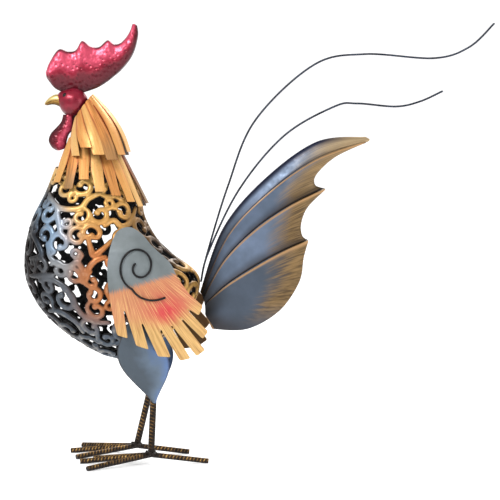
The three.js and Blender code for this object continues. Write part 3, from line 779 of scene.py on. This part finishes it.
def tail_steel():
    paint = Paint("tail_steel", metallic=0.5)
    across, along, panel = paint.value("across"), paint.value("along"), paint.value("tone")
    brush = paint.noise(1.0, 8.0, paint.vector(across * 46.0, along * 5.0, panel * 20.0))
    cloud = paint.noise(22.0, 4.0)
    steel = paint.ramp(cloud, [
        (0.3, (72, 84, 100)),
        (0.5, (92, 106, 126)),
        (0.7, (114, 130, 156)),
    ])
    base = paint.mix(paint.span(panel, 0.6, 0.7) * 0.75, steel, (56, 64, 74))
    worn = along + (brush * 0.24 + cloud * 0.36 - 0.3)
    streaks = paint.span(brush, 0.3, 0.7)
    dull = paint.mix(streaks, (78, 60, 36), (138, 110, 70))
    pale = paint.mix(streaks, (164, 138, 102), (196, 172, 134))
    bronze = paint.mix(paint.span(panel, 0.3, 0.1), dull, pale)
    above_lobe = paint.span(panel, 0.7, 0.6)
    aft = paint.maths("MAXIMUM", paint.span(across, 0.8, 0.5), above_lobe)
    gilded = paint.mix(paint.span(worn, 0.6, 0.86) * aft, base, bronze)
    # Painted shadow: a broad dark brown over the lower part of each panel and, except on the lower lobe, a
    # near black band right against the rib below, where that rib's raised step casts its shade.
    rib_shadow_wide = paint.mix(paint.span(across, 0.6, 0.97) * 0.7, gilded, (44, 32, 24))
    shaded = paint.mix(paint.span(across, 0.86, 0.95) * above_lobe, rib_shadow_wide, (20, 15, 12))
    # A gold line along each rib, partly the ribs' gold paint and partly a painted highlight where the raised
    # rib catches the light.
    ridge = paint.maths("MAXIMUM", paint.span(across, 0.08, 0.02), paint.span(across, 0.97, 0.99))
    ridge_gilt_and_lit = paint.mix(ridge * paint.span(panel, 0.1, 0.2) * 0.85, shaded, (178, 138, 94))
    crest = paint.span(panel, 0.2, 0.1) * paint.span(across, 0.45, 0.05)
    blued = paint.mix(crest * paint.span(along, 0.95, 0.75), ridge_gilt_and_lit, (20, 28, 56))
    rooted = paint.mix(paint.span(along, 0.32, 0.02), blued, (20, 18, 20))
    inside = paint.mix(paint.value("outer"), (18, 15, 14), rooted)
    return paint.finish(inside, paint.worn(0.3, 0.46), brush, 0.2, 0.3)


def plume_wire():
    paint = Paint("plume_wire", metallic=0.6)
    tint = paint.ramp(paint.noise(60), [
        (0.35, (28, 32, 44)),
        (0.65, (62, 68, 82)),
    ])
    return paint.finish(tint, paint.worn(0.35, 0.5), paint.noise(900), 0.1)


def ribbed_rod():
    paint = Paint("ribbed_rod", metallic=0.6)
    # The tone paints the rods gold on their ribs and on the side towards the key lamp, and dark below: partly
    # dry-brushed gold, partly painted light and shade.
    tint = paint.ramp(paint.value("tone") + (paint.noise(180) - 0.5) * 1.2, [
        (0.1, (26, 19, 15)),
        (0.4, (62, 45, 28)),
        (0.7, (140, 104, 54)),
        (1.0, (216, 174, 100)),
    ])
    sooted = paint.mix(paint.span(paint.value("along"), 18.0, 4.0), tint, (34, 26, 22))
    return paint.finish(sooted, paint.worn(0.36, 0.6), paint.noise(600), 0.25)


# Body


def body_point(u, angle):
    """A point of the left half: u from the neck to the belly, angle from the chest to the back."""
    level, chest, back, width = np.moveaxis(spline(BODY_STATIONS, u), -1, 0)
    x = (chest + back) / 2 - (back - chest) / 2 * np.cos(angle)
    return np.stack([x, -width * np.sin(angle), level + 0 * x], axis=-1)


def body_slopes(u, angle):
    step = 1e-3
    down = (body_point(u + step, angle) - body_point(u - step, angle)) / (2 * step)
    around = (body_point(u, angle + step) - body_point(u, angle - step)) / (2 * step)
    return down, around, -unit(np.cross(down, around))


BODY_SHARES = np.linspace(0, 1, 400)
BODY_LEVELS = spline(BODY_STATIONS, BODY_SHARES)[:, 0]


def body_place(x, z):
    """u and angle of the point of the left half at x and z."""
    u = np.interp(-z, -BODY_LEVELS, BODY_SHARES)
    _, chest, back, _ = spline(BODY_STATIONS, u)
    return u, math.acos(np.clip((chest + back - 2 * x) / (back - chest), -0.97, 0.97))


def seam_path(column, steps):
    """The rim along the chest (1) or the back (2), with its outward normals."""
    edge = spline(BODY_STATIONS, np.linspace(0, 1, steps + 1))
    at = np.stack([edge[:, column], np.full(steps + 1, -SEAM_SIDE), edge[:, 0]], axis=-1)
    tangent = np.gradient(at, axis=0)
    side = 1 if column == 1 else -1
    return at, unit(np.stack([tangent[:, 2] * side, 0 * tangent[:, 0], -tangent[:, 0] * side], axis=-1))


def collar_path(steps):
    angle = np.radians(np.linspace(*COLLAR_ANGLES, steps + 1))
    u = np.full(steps + 1, COLLAR_U)
    return body_point(u, angle), body_slopes(u, angle)[2]


def rim_paths(seam_steps, collar_steps):
    return [seam_path(1, seam_steps), seam_path(2, seam_steps), collar_path(collar_steps)]


def vine_path(points):
    places = np.array([body_place(x, z) for x, z in points])
    u, angle = spline(places, np.linspace(0, 1, VINE_STEPS)).T
    return body_point(u, angle), body_slopes(u, angle)[2]


def scroll_plan(fills):
    """Every scroll's u, angle, radius, start and hand: the flank's, then the fill where it finds room."""
    plan = [
        (*body_place(x, z), radius, math.radians(start), hand)
        for x, z, radius, start, hand in FLANK_SCROLLS
    ]
    centres = [body_point(u, angle) for u, angle, *_ in plan]
    rims = rim_paths(PLAN_SEAM_STEPS, PLAN_COLLAR_STEPS)
    bars = np.concatenate([at for at, _ in rims + [vine_path(points) for points in VINES]])
    for radius, clearance in fills:
        for row in range(1, FILL_ROWS):
            for column in range(1, FILL_COLUMNS):
                u, angle = row / FILL_ROWS, math.pi * column / FILL_COLUMNS
                at = body_point(u, angle)
                to_bar = np.linalg.norm(bars - at, axis=1).min()
                to_scroll = np.linalg.norm(np.array(centres) - at, axis=1) - [scroll[2] for scroll in plan]
                if min(to_bar, to_scroll.min()) - clearance > radius:
                    turn = math.radians(SCROLL_TURN_STEP * len(plan))
                    plan.append((u, angle, radius, turn, -1 if len(plan) % 2 else 1))
                    centres.append(at)
    return plan


def scroll_path(u, angle, radius, start, hand):
    """A spiral from its outer end in to its eye."""
    down, around, _ = body_slopes(u, angle)
    share = np.linspace(0, 1, SCROLL_STEPS)
    turn = start + hand * share * SCROLL_TURNS * 2 * math.pi
    r = radius * SCROLL_SPREAD * lerp(1, SCROLL_EYE, share**SCROLL_SHRINK)
    place_u = np.clip(u - r * np.sin(turn) / np.linalg.norm(down), 0.003, 0.985)
    place_angle = angle + r * np.cos(turn) / np.linalg.norm(around)
    return body_point(place_u, place_angle), body_slopes(place_u, place_angle)[2], radius


def body_bars(fills):
    """Rims and scrolls as one set of bars; each scroll springs from the nearest bar laid before it."""
    shape = Shape()
    rims = rim_paths(SEAM_STEPS, COLLAR_STEPS)
    for at, normal in rims:
        shape.loft(sweep(at, SEAM_SIDE, BAR_HALF_DEPTH, BAR_SIDES, normal))
    vines = [vine_path(points) for points in VINES]
    for at, normal in vines:
        share = np.linspace(0, 1, len(at))
        wide = VINE_HALF_WIDTH * (0.7 + 0.3 * np.sin(math.pi * share))
        shape.loft(sweep(at, wide, BAR_HALF_DEPTH, BAR_SIDES, normal))
    laid = np.concatenate([at for at, _ in rims + vines])
    laid_normals = np.concatenate([normal for _, normal in rims + vines])
    waiting = [scroll_path(*scroll) for scroll in scroll_plan(fills)]
    reach = [np.linalg.norm(laid - at[0], axis=1) for at, _, _ in waiting]
    nearest = [(d.min(), int(d.argmin())) for d in reach]
    while waiting:
        first = min(range(len(waiting)), key=lambda i: nearest[i][0])
        at, normal, radius = waiting.pop(first)
        _, root = nearest.pop(first)
        add_scroll(shape, np.vstack([laid[root], at]), np.vstack([laid_normals[root], normal]), radius)
        begin = len(laid)
        laid, laid_normals = np.vstack([laid, at]), np.vstack([laid_normals, normal])
        for i, (other, _, _) in enumerate(waiting):
            d = np.linalg.norm(at - other[0], axis=1)
            if d.min() < nearest[i][0]:
                nearest[i] = (d.min(), begin + int(d.argmin()))
    return shape


def add_scroll(shape, at, normal, radius):
    """A scroll's bar: thinner at its root and tail, with a bulb at its eye."""
    share = np.linspace(0, 1, BAR_STEPS)
    path, up = spline(at, share), unit(spline(normal, share))
    size = min(1.0, 0.35 + radius / 13)
    swell = lerp(0.72, 1.0, smoothstep(0.0, 0.3, share)) * lerp(1.0, 0.86, smoothstep(0.5, 0.9, share))
    eye = smoothstep(0.9, 0.97, share)
    wide = BAR_HALF_WIDTH * size * np.maximum(swell, BULB / BAR_HALF_WIDTH * eye)
    deep = BAR_HALF_DEPTH * lerp(1.0, 1.25, eye) * lerp(0.8, 1, size)
    shape.loft(sweep(path, wide, deep, BAR_SIDES, up))


def body_mesh(shape, name, mirrored):
    """The bars melted into one cast surface, with its paint zones and the height of its ridges."""
    rough = linked(name, mesh_of(name, shape, mirrored))
    melt = rough.modifiers.new("melt", "REMESH")
    melt.mode = "VOXEL"
    melt.voxel_size = BODY_VOXEL * MM
    soften = rough.modifiers.new("soften", "SMOOTH")
    soften.factor = 0.5
    soften.iterations = SOFTEN_ROUNDS
    bpy.context.view_layer.update()
    cast = bpy.data.meshes.new_from_object(rough.evaluated_get(bpy.context.evaluated_depsgraph_get()))
    bpy.data.objects.remove(rough)
    cast.shade_smooth()
    points = np.zeros(len(cast.vertices) * 3, np.float32)
    cast.vertices.foreach_get("co", points)
    points = points.reshape(-1, 3) / MM
    u = np.interp(-points[:, 2], -BODY_LEVELS, BODY_SHARES)
    _, chest, back, width = spline(BODY_STATIONS, u).T
    half = np.maximum((back - chest) / 2, LEAST_HALF_WIDTH)
    width = np.maximum(width, LEAST_HALF_WIDTH)
    ratio = np.hypot((points[:, 0] - (chest + back) / 2) / half, points[:, 1] / width)
    rise = (ratio - 1) * np.minimum(half, width)
    ridge = np.clip(0.5 + rise / (2 * BAR_HALF_DEPTH), 0, 1)
    # The ridge height drives the dry-brushed paint and the painted shade and highlight of scroll_paint.
    store(cast, "tone", ridge)
    weight = np.stack([
        np.exp(-((points[:, 0] - x) ** 2 + (points[:, 2] - z) ** 2) / (2 * spread**2))
        for x, z, spread, _ in PAINT_ZONES
    ], axis=-1) ** ZONE_SHARPNESS + 1e-9
    tints = np.array([paint_colour(*tint) for _, _, _, tint in PAINT_ZONES])
    zone = (weight / weight.sum(axis=1, keepdims=True)) @ tints
    colours = cast.attributes.new("zone", "FLOAT_COLOR", "POINT").data
    colours.foreach_set("color", zone.astype(np.float32).ravel())
    return cast


def make_body():
    paint = scroll_paint()
    for side, fills in FILLS.items():
        place(side, body_mesh(body_bars(fills), side, side == "body_right"), paint, "scroll")


# Head


def cushion(sections, depth, rows, around):
    """Rings of a domed double shell between two edges, hammered all over but for its rim."""
    share = np.linspace(0, 1, rows)
    edges = spline(sections, share)
    low, high = edges[:, None, :2], edges[:, None, 2:]
    width = np.linalg.norm(high - low, axis=-1)
    half = np.minimum(depth / 2, 0.35 * width) * np.ones((rows, around))
    angle = circle(around)
    across = (1 - np.cos(angle)) / 2
    flat = lerp(low, high, across[None, :, None])
    rise = np.sign(np.sin(angle)) * np.abs(np.sin(angle)) ** 0.75
    over_head = np.exp(-(((edges[:, :1] - HEAD["x"]) / 20) ** 2))
    half = half * lerp(1, smoothstep(0.0, 0.45, across)[None], over_head)
    rings = np.stack([flat[..., 0], half * rise, flat[..., 1]], axis=-1)
    crest = hammer(rings.reshape(-1, 3)).reshape(rows, around)
    field = smoothstep(0.12, 0.5, np.abs(np.sin(angle)))[None] * smoothstep(0, 8, width)
    field = field * lerp(1, 0.35, smoothstep(0.58, 0.8, across))
    rings[..., 1] += np.sign(rise) * DENT_DEPTH * (crest - DENT_LEVEL) * field
    return rings, lerp(DENT_LEVEL, crest, field), across


def make_head():
    paint = red_lacquer()
    for name, sizes in CUSHIONS.items():
        shape = Shape()
        rings, crest, across = cushion(*sizes)
        # across carries the painted light of the comb and wattle, and tone the painted shade in their dents.
        shape.loft(rings, tone=crest, across=across)
        place_shape(name, shape, paint, "red")
    shape = Shape()
    points, turn, rise = ball(96, 60, 89)
    points = points * (1, HEAD["flat"], 1)
    crest = hammer((points * HEAD["radius"]).reshape(-1, 3), HEAD_DENT_CELL).reshape(rise.shape)
    brow = BROW * np.exp(-((rise - 0.5) ** 2) / 0.16) * np.clip(-np.cos(turn), 0, 1) ** 3
    radius = HEAD["radius"] - GAP + HEAD_DENT_DEPTH * (crest - 0.5) + brow
    rings = points * radius[..., None] + (HEAD["x"], 0, HEAD["z"])
    # Painted light: across rises towards the top of the head, so the lacquer's ramp paints it lighter above
    # and darker below.
    shape.loft(rings, tone=lerp(DENT_LEVEL, crest, 0.5), across=0.44 + 0.1 * np.sin(rise))
    place_shape("head", shape, paint, "red")
    make_beak()
    make_eyes()


def make_beak():
    """Two mandibles that meet in a groove, the upper one hooked over the lower."""
    shape = Shape()
    share = np.linspace(0, 0.995, 40)[:, None]
    angle = circle(48)[None]
    size = (1 - share) ** 0.42
    gape = np.exp(-((np.sin(angle) + 0.15) ** 2) / 0.006)
    groove = 1 - BEAK_GROOVE * gape
    under = np.where(np.sin(angle) < -0.15, lerp(1.0, BEAK_UNDER, share), 1.0)
    x = lerp(BEAK["base"][0], BEAK["tip"][0], share) + BEAK_HOOK * (1 - under) / (1 - BEAK_UNDER)
    y = BEAK["width"] * size * groove * np.cos(angle)
    arch = BEAK_ARCH * np.sin(math.pi * share)
    middle = lerp(BEAK["base"][1], BEAK["tip"][1], share**2) + arch
    z = middle + BEAK["height"] * size * groove * under * np.sin(angle)
    rings = np.stack(np.broadcast_arrays(x, y, z), axis=-1)
    # tone paints light and shade: lighter on top, darker underneath, and painted shade in the groove.
    shape.loft(rings, tone=0.5 + 0.5 * np.sin(angle) - 0.3 * gape)
    place_shape("beak", shape, beak_gold(), "gold")


def make_eyes():
    """A dark bead in a raised ring."""
    shape = Shape()
    turn = circle(32)
    profile = np.array(EYE_PROFILE)[:, None]
    at = np.array([EYE["x"], -HEAD["radius"] * HEAD["flat"] * 0.6, EYE["z"]])
    out = unit((at - (HEAD["x"], 0, HEAD["z"])) / (1, HEAD["flat"] ** 2, 1))
    side = unit(np.cross(out, (0, 0, 1)))
    up = np.cross(side, out)
    spin = np.cos(turn)[:, None] * side + np.sin(turn)[:, None] * up
    seat = at + out * EYE["lift"] + EYE["shift"]
    shape.loft(seat + EYE["radius"] * (profile[..., :1] * spin + profile[..., 1:] * EYE_FLATNESS * out))
    place_pair("eye", shape, black_iron(), "black")


# Neck and hackle


def make_neck():
    shape = Shape()
    turn = circle(NECK_SIDES)
    rings = spline(NECK_RINGS, np.linspace(0, 1, NECK_LEVELS))
    outer = np.stack([
        rings[:, 1:2] - rings[:, 2:3] * np.cos(turn),
        -rings[:, 3:4] * np.sin(turn),
        np.broadcast_to(rings[:, :1], (NECK_LEVELS, NECK_SIDES)),
    ], axis=-1)
    crest = hammer(outer.reshape(-1, 3), NECK_DENT_CELL).reshape(NECK_LEVELS, NECK_SIDES)
    middle = np.stack([rings[:, 1], 0 * rings[:, 1], rings[:, 0]], axis=-1)[:, None]
    outer += unit(outer - middle) * (NECK_DENT_DEPTH * (crest - 1))[..., None]
    bore = 1 - NECK_WALL / np.minimum(rings[:, 2], rings[:, 3])
    inner = middle + (outer - middle) * bore[:, None, None]
    inner[..., 2] = np.minimum(inner[..., 2], NECK_RINGS[-1][0] - NECK_WALL)
    inner[0, :, 2] = NECK_RINGS[0][0]
    shape.loft(np.concatenate([inner[::-1], outer]), tone=np.concatenate([crest, crest]))
    place_shape("neck", shape, black_iron(), "black")


def hackle_grid(tier, tip_level, angle, share):
    """Points of a hackle tier: angle from the throat round the left side, share from collar to tip."""
    out = tier["bulge"] * np.sin(math.pi * share) * lerp(THROAT_BULGE, 1, 0.5 - 0.5 * np.cos(angle))
    x, a, b = (lerp(top, tip, share) for top, tip in zip(tier["top"], tier["tip"]))
    z = lerp(tier["level"] - tier["lift"] * np.cos(angle), tip_level, share)
    return np.stack([x - (a + out) * np.cos(angle), -(b + out) * np.sin(angle), z], axis=-1)


def make_hackles():
    paint = hackle_gold()
    share = np.linspace(0, 1, HACKLE_ROWS)[:, None]
    across = np.linspace(0, 1, HACKLE_COLUMNS)[None]
    for name, tier in HACKLES.items():
        shape = Shape()
        levels = tier["tips"] + tier["tips"][::-1]
        pitch = (180 - tier["first"]) / (len(tier["tips"]) - 0.5)
        middle = np.array([(tier["top"][0] + tier["tip"][0]) / 2, 0, tier["level"] - 40])
        radius = lerp(sum(tier["top"][1:]) / 2, sum(tier["tip"][1:]) / 2, share)
        slit = tier["slit"] * smoothstep(tier["part"], 1.0, share)
        half = math.radians(pitch) / 2 - slit / 2 / radius
        for i, level in enumerate(levels):
            tone = (i * 0.618 + (0.3 if name == "hackle_lower" else 0.0)) % 1
            if name == "hackle_lower" and abs(2 * i - len(levels) + 1) <= 1:
                tone = NAPE_TONE
            angle = math.radians(tier["first"] + i * pitch) + half * (2 * across - 1)
            grid = hackle_grid(tier, level, angle, share)
            outward = unit(grid - middle * (1, 1, 0) - grid * (0, 0, 1))
            crown = HACKLE_CROWN * (1 - (2 * across - 1) ** 2) * (1 - share**3)
            flare = (0.9 if i % 2 else -0.3) * smoothstep(0.25, 0.9, share) + 0.9 * share**4
            grid = grid + outward * (crown + flare)[..., None]
            shape.sheet(grid, middle, across=across, along=share, tone=tone)
        last = tier["first"] + (len(levels) - 1) * pitch
        around = np.radians(np.linspace(tier["first"], last, BAND_COLUMNS))[None]
        band = hackle_grid(tier, tier["level"], around, np.zeros((BAND_ROWS, 1)))
        foot = hackle_grid(tier, tier["tips"][0], around, np.full((BAND_ROWS, 1), HACKLE_BAND))
        collar = lerp(band, foot, np.linspace(0, 1, BAND_ROWS)[:, None, None])
        shape.sheet(collar, middle, across=0.5, along=0.0, tone=0.3)
        place_shape(name, shape, paint, "hackle")


# Wing


def wing_depth(x, z):
    level = np.interp(z, [row[0] for row in WING_LEVELS], [row[1] for row in WING_LEVELS])
    return -level * np.sqrt(1 - ((x - WING_BULGE[0]) / WING_BULGE[1]) ** 2)


def rounded(corners, radius):
    """The corners of an outline, each cut to a small round."""
    out = []
    for before, at, after in zip(corners, corners[1:], corners[2:]):
        reach = [min(radius, 0.45 * np.linalg.norm(end - at)) for end in (before, after)]
        start, stop = (at + unit(end - at) * r for end, r in zip((before, after), reach))
        for t in np.linspace(0, 1, 4):
            out.append(lerp(lerp(start, at, t), lerp(at, stop, t), t))
    return out


def wing_outline():
    edge = spline(WING_EDGE, np.linspace(0, 1, WING_EDGE_STEPS))
    corners = [edge[-1]]
    for first, second, *slit in WING_FINGERS:
        corners += [np.array(first, float), np.array(second, float)]
        for x, z in slit:
            corners += [np.array([x + SLIT_WIDTH / 2, z]), np.array([x - SLIT_WIDTH / 2, z])]
    corners.append(edge[0])
    return resampled(np.array([*edge, *rounded(corners, WING_CORNER)]), WING_EDGE_SPACING)


def resampled(outline, spacing):
    """A closed outline with points added so that none are further apart than spacing."""
    points = []
    for a, b in zip(outline, np.roll(outline, -1, axis=0)):
        steps = max(1, math.ceil(np.linalg.norm(b - a) / spacing))
        points += [lerp(a, b, i / steps) for i in range(steps)]
    return np.array(points)


def inside(points, outline):
    """Which points lie in the outline."""
    found = np.zeros(len(points), bool)
    for (xa, za), (xb, zb) in zip(outline, np.roll(outline, -1, axis=0)):
        if za == zb:
            continue
        crosses = (za > points[:, 1]) != (zb > points[:, 1])
        found ^= crosses & (points[:, 0] < xa + (xb - xa) * (points[:, 1] - za) / (zb - za))
    return found


def make_wings():
    outline = wing_outline()
    low, high = outline.min(axis=0), outline.max(axis=0)
    x, z = np.meshgrid(np.arange(low[0], high[0], WING_SPACING), np.arange(low[1], high[1], WING_SPACING))
    x = x + WING_SPACING / 2 * (np.arange(len(x)) % 2)[:, None]
    field = np.stack([x.ravel(), z.ravel()], axis=-1)
    field = field[inside(field, outline)]
    far = [np.min(np.linalg.norm(outline - p, axis=1)) > 0.45 * WING_SPACING for p in field]
    points = np.concatenate([outline, field[far]])
    rim = [(i, (i + 1) % len(outline)) for i in range(len(outline))]
    flat, _, faces, *_ = delaunay_2d_cdt([Vector(p) for p in points], rim, [], 1, 1e-4)
    x, z = np.array(flat).T
    fan = np.arctan2(x - WING_FAN[0], WING_FAN[1] - z)
    reach = np.hypot(x - WING_FAN[0], z - WING_FAN[1])
    (xa, za), (xb, zb) = WING_LINE
    above = z - lerp(za, zb, (x - xa) / (xb - xa))
    from_hot = np.hypot(x - WING_HOT[0], z - WING_HOT[1]) / WING_HOT_SPREAD
    hot = 0.2 + 0.8 * np.exp(-(from_hot**2) / 2)
    bend = FINGER_BEND * np.sin(fan * 15) * smoothstep(78, 118, reach)
    bend = bend + CHISEL_DEPTH * np.sin(fan * 70) * smoothstep(30, 60, reach)
    step = 0.1
    slope_x = (wing_depth(x + step, z) - wing_depth(x - step, z)) / (2 * step)
    slope_z = (wing_depth(x, z + step) - wing_depth(x, z - step)) / (2 * step)
    middle = np.stack([x, wing_depth(x, z) + bend, z], axis=-1)
    normal = unit(np.stack([slope_x, np.full_like(x, -1), slope_z], axis=-1))
    shape = Shape()
    shape.slab(middle, normal, [tuple(face) for face in faces], across=fan, along=above, tone=hot)
    place_pair("wing", shape, wing_paint(), "wing")
    make_spirals()


def make_spirals():
    turn = np.linspace(0, SPIRAL["turns"] + SPIRAL_TAIL_TURN, SPIRAL_STEPS)
    past = np.maximum(turn - SPIRAL["turns"], 0) / SPIRAL_TAIL_TURN
    radius = SPIRAL["first"] + SPIRAL["growth"] * turn + SPIRAL["tail"] * past
    angle = np.radians(SPIRAL["from"] + turn)
    x = SPIRAL["x"] + SPIRAL_SQUEEZE * radius * np.cos(angle)
    z = SPIRAL["z"] + radius * np.sin(angle)
    path = np.stack([x, wing_depth(x, z) - SHEET / 2 - SPIRAL_STANDOFF - GAP, z], axis=-1)
    shape = Shape()
    thick = SPIRAL_WIRE * (1 + 0.05 * np.sin(turn / 9))
    shape.loft(sweep(path, thick, thick, 14, (0, -1, 0)))
    place_pair("wing_spiral", shape, black_iron(), "black")


# Thigh, legs and toes


def make_thighs():
    v = np.linspace(0, 1, THIGH_ROWS)[:, None]
    across = np.linspace(-1, 1, THIGH_COLUMNS)[None]
    half = THIGH["width"] / 2 * np.sin(math.pi * lerp(0.06, 0.97, v)) ** THIGH_TAPER
    x = THIGH["x"] + lerp(*THIGH_LEAN, v) + across * half
    crown = THIGH["crown"] * (1 - across**2) * np.sin(math.pi * v)
    y = lerp(THIGH["lower"], THIGH["upper"], v) - crown
    z = lerp(THIGH["tip"], THIGH["top"], v) + 0 * across
    grid = np.stack([x, y, z], axis=-1)
    dents = hammer(grid.reshape(-1, 3), THIGH_DENT_CELL).reshape(z.shape)
    grid[..., 1] += THIGH_DENT_DEPTH * (dents - 0.5)
    shape = Shape()
    shape.sheet(grid, (THIGH["x"], 0, 100), across=across, along=v, tone=np.abs(across))
    place_pair("thigh", shape, thigh_blue(), "thigh")


def rebar(start, stop, radius):
    """Rings of a rod with slanting ribs on two sides and a straight one between, their gilding and length;
    the gilding is partly dry-brushed gold on the ribs and partly painted light and shade, gold on the side
    towards the key lamp and dark below.
    """
    start, stop = np.array(start, float), np.array(stop, float)
    length = np.linalg.norm(stop - start)
    along = np.linspace(0, length, int(length / ROD_STEP))[:, None]
    turn = circle(ROD_SIDES)[None]
    half = np.mod(turn, math.pi)
    slant = np.where(turn < math.pi, 1, -1) * RIB_SLANT * half / math.pi
    wave = np.cos(2 * math.pi * (along / RIB_PITCH + slant))
    ring = np.clip(wave, 0, 1) ** 2 * np.sin(half) ** 0.5
    spine = np.exp(-(np.minimum(half, math.pi - half) ** 2) / 0.03)
    rib = np.maximum(ring, 0.8 * spine)
    size = radius * (ROD_CORE + RIB_RISE * rib)
    tangent = unit(stop - start)
    side = unit(np.cross(tangent, (0.3, 1, 0.1)))
    out = np.cross(side, tangent)
    spin = np.cos(turn)[..., None] * side + np.sin(turn)[..., None] * out
    lit = smoothstep(-0.1, 1.0, spin @ unit(np.array(GILDED_AND_LIT_SIDE)))
    rings = start + along[..., None] * tangent + size[..., None] * spin
    return rings, lerp(rib, 1, 0.3) * lerp(0.2, 1, lit), along


def add_weld(shape, at, index):
    """A lumpy bead of weld metal."""
    points, _, rise = ball(20, 14, 85)
    lumps = [noise.noise(Vector(p * 1.7) + Vector((index * 3.1, 0, 0))) for p in points.reshape(-1, 3)]
    radius = WELD_RADIUS * (1 + 0.3 * np.array(lumps).reshape(rise.shape))
    shape.loft(points * radius[..., None] + at, tone=0.35, along=0.0)


def make_legs():
    paint = ribbed_rod()
    for side, leg in LEGS.items():
        weld = np.array([*leg["foot"], FOOT_LEVEL])
        shape = Shape()
        rings, rib, along = rebar(weld - (0, 0, 1.0), leg["top"], LEG_RADIUS)
        shape.loft(rings, tone=rib, along=along)
        for i, turn in enumerate(circle(WELD_BEADS)):
            ring = (WELD_RING * math.cos(turn), WELD_RING * math.sin(turn), 0.6 + 1.2 * (i % 2))
            add_weld(shape, weld + ring, i)
        place_shape("leg_" + side, shape, paint, "rod")
        for toe, (outward, length) in TOES[side].items():
            turn = math.radians(outward)
            reach = (-length * math.cos(turn), leg["side"] * length * math.sin(turn))
            tip = (weld[0] + reach[0], weld[1] + reach[1], TOE_TIP_LEVEL)
            shape = Shape()
            rings, rib, along = rebar(weld, tip, TOE_RADIUS)
            rings[..., 2] = np.maximum(rings[..., 2], 0)
            shape.loft(rings, tone=rib, along=along)
            place_shape(f"toe_{side}_{toe}", shape, paint, "rod")


# Tail


def tail_grid(panel, share, along):
    """Points of a tail panel: share from its upper rib to its lower one, along from the root to the tip."""
    upper, lower = (spline(TAIL_RIBS[i], along)[:, None] for i in (panel, panel + 1))
    flat = lerp(upper, lower, share[:, None])
    edge, sharpness = TAIL_EDGES[panel]
    flat = flat + (spline(edge, share) - flat[-1]) * along[:, None, None] ** sharpness
    across = (panel + share) / (len(TAIL_RIBS) - 1)
    arch = np.clip(np.sin(math.pi * across), 0, 1)
    swell = np.sin(math.pi * lerp(0.12, 0.97, along)) ** 0.8
    dome = TAIL_BULGE * arch**0.7 * swell[:, None]
    step = np.maximum((1 - share) ** 1.6, smoothstep(0.94, 1.0, share))
    ridge = TAIL_RIB_HEIGHT * step * np.minimum(1, 1.6 * arch) * lerp(0.35, 1, along)[:, None]
    y = -(SHEET / 2 + GAP / 2 + dome + ridge)
    return np.stack([flat[..., 0], y, flat[..., 1]], axis=-1)


def make_tail():
    along = np.linspace(0, 1, TAIL_STEPS)
    grids, shares, panels = [], [], []
    for panel, lines in enumerate(TAIL_LINES):
        share = np.linspace(0, 1, lines + 1)
        if panel < len(TAIL_LINES) - 1:
            share = share[:-1]
        grids.append(tail_grid(panel, share, along))
        shares.append(share)
        panels.append(np.full(len(share), panel / len(TAIL_LINES)))
    grid = np.concatenate(grids, axis=1)
    shape = Shape()
    shape.sheet(
        grid,
        TAIL_INSIDE,
        across=np.concatenate(shares),
        along=along[:, None],
        tone=np.concatenate(panels),
    )
    place_pair("tail", shape, tail_steel(), "tail")


def make_plumes():
    paint = plume_wire()
    for name, (side, points) in PLUMES.items():
        flat = spline(points, np.linspace(0, 1, PLUME_STEPS))
        path = np.stack([flat[:, 0], np.full(len(flat), side), flat[:, 1]], axis=-1)
        shape = Shape()
        shape.loft(sweep(path, PLUME_RADIUS, PLUME_RADIUS, PLUME_SIDES, (0, -1, 0)))
        place_shape(name, shape, paint, "wire")


# Room, light and camera


def make_room():
    """A pale floor that turns up into a pale wall far behind."""
    back, radius, width = ROOM["back"], ROOM["turn"], ROOM["half_width"]
    arc = np.radians(np.linspace(0, 90, 24))
    profile = [(ROOM["front"], 0.0), (back, 0.0)]
    profile += [(back + radius * math.sin(a), radius * (1 - math.cos(a))) for a in arc[1:]]
    profile.append((back + radius, ROOM["height"]))
    points = [(x, y, z) for y, z in profile for x in (-width, width)]
    mesh = bpy.data.meshes.new("floor")
    mesh.from_pydata(points, [], grid_faces(len(profile), 2))
    mesh.shade_smooth()
    paint = bpy.data.materials.new("pale_floor")
    paint.use_nodes = True
    shader = paint.node_tree.nodes["Principled BSDF"]
    shader.inputs["Base Color"].default_value = (0.93, 0.93, 0.93, 1)
    shader.inputs["Roughness"].default_value = 0.6
    shader.inputs["Specular IOR Level"].default_value = 0.2
    shader.inputs["Emission Color"].default_value = (1, 1, 1, 1)
    shader.inputs["Emission Strength"].default_value = FLOOR_GLOW
    mesh.materials.append(paint)
    floor = linked("floor", mesh)


def aimed(name, data, at):
    """A lamp or camera at a place, turned to what the camera looks at."""
    made = linked(name, data)
    made.location = at
    made.rotation_euler = (Vector(CAMERA_TO) - Vector(at)).to_track_quat("-Z", "Y").to_euler()
    return made


def make_light():
    world = bpy.data.worlds.new("room")
    world.use_nodes = True
    background = world.node_tree.nodes["Background"]
    background.inputs["Color"].default_value = (1, 1, 1, 1)
    background.inputs["Strength"].default_value = WORLD_LIGHT
    bpy.context.scene.world = world
    for name, (at, size, power) in LIGHTS.items():
        data = bpy.data.lights.new(name, "AREA")
        data.shape = "RECTANGLE"
        data.size, data.size_y = size
        data.energy = power
        aimed(name, data, at)
    bpy.context.scene.view_settings.view_transform = "Standard"


def make_camera():
    data = bpy.data.cameras.new("camera")
    data.sensor_width = CAMERA_SENSOR
    data.lens = CAMERA_LENS
    bpy.context.scene.camera = aimed("camera", data, CAMERA_AT)


make_camera()
make_room()
make_light()
make_body()
make_head()
make_neck()
make_hackles()
make_wings()
make_thighs()
make_legs()
make_tail()
make_plumes()
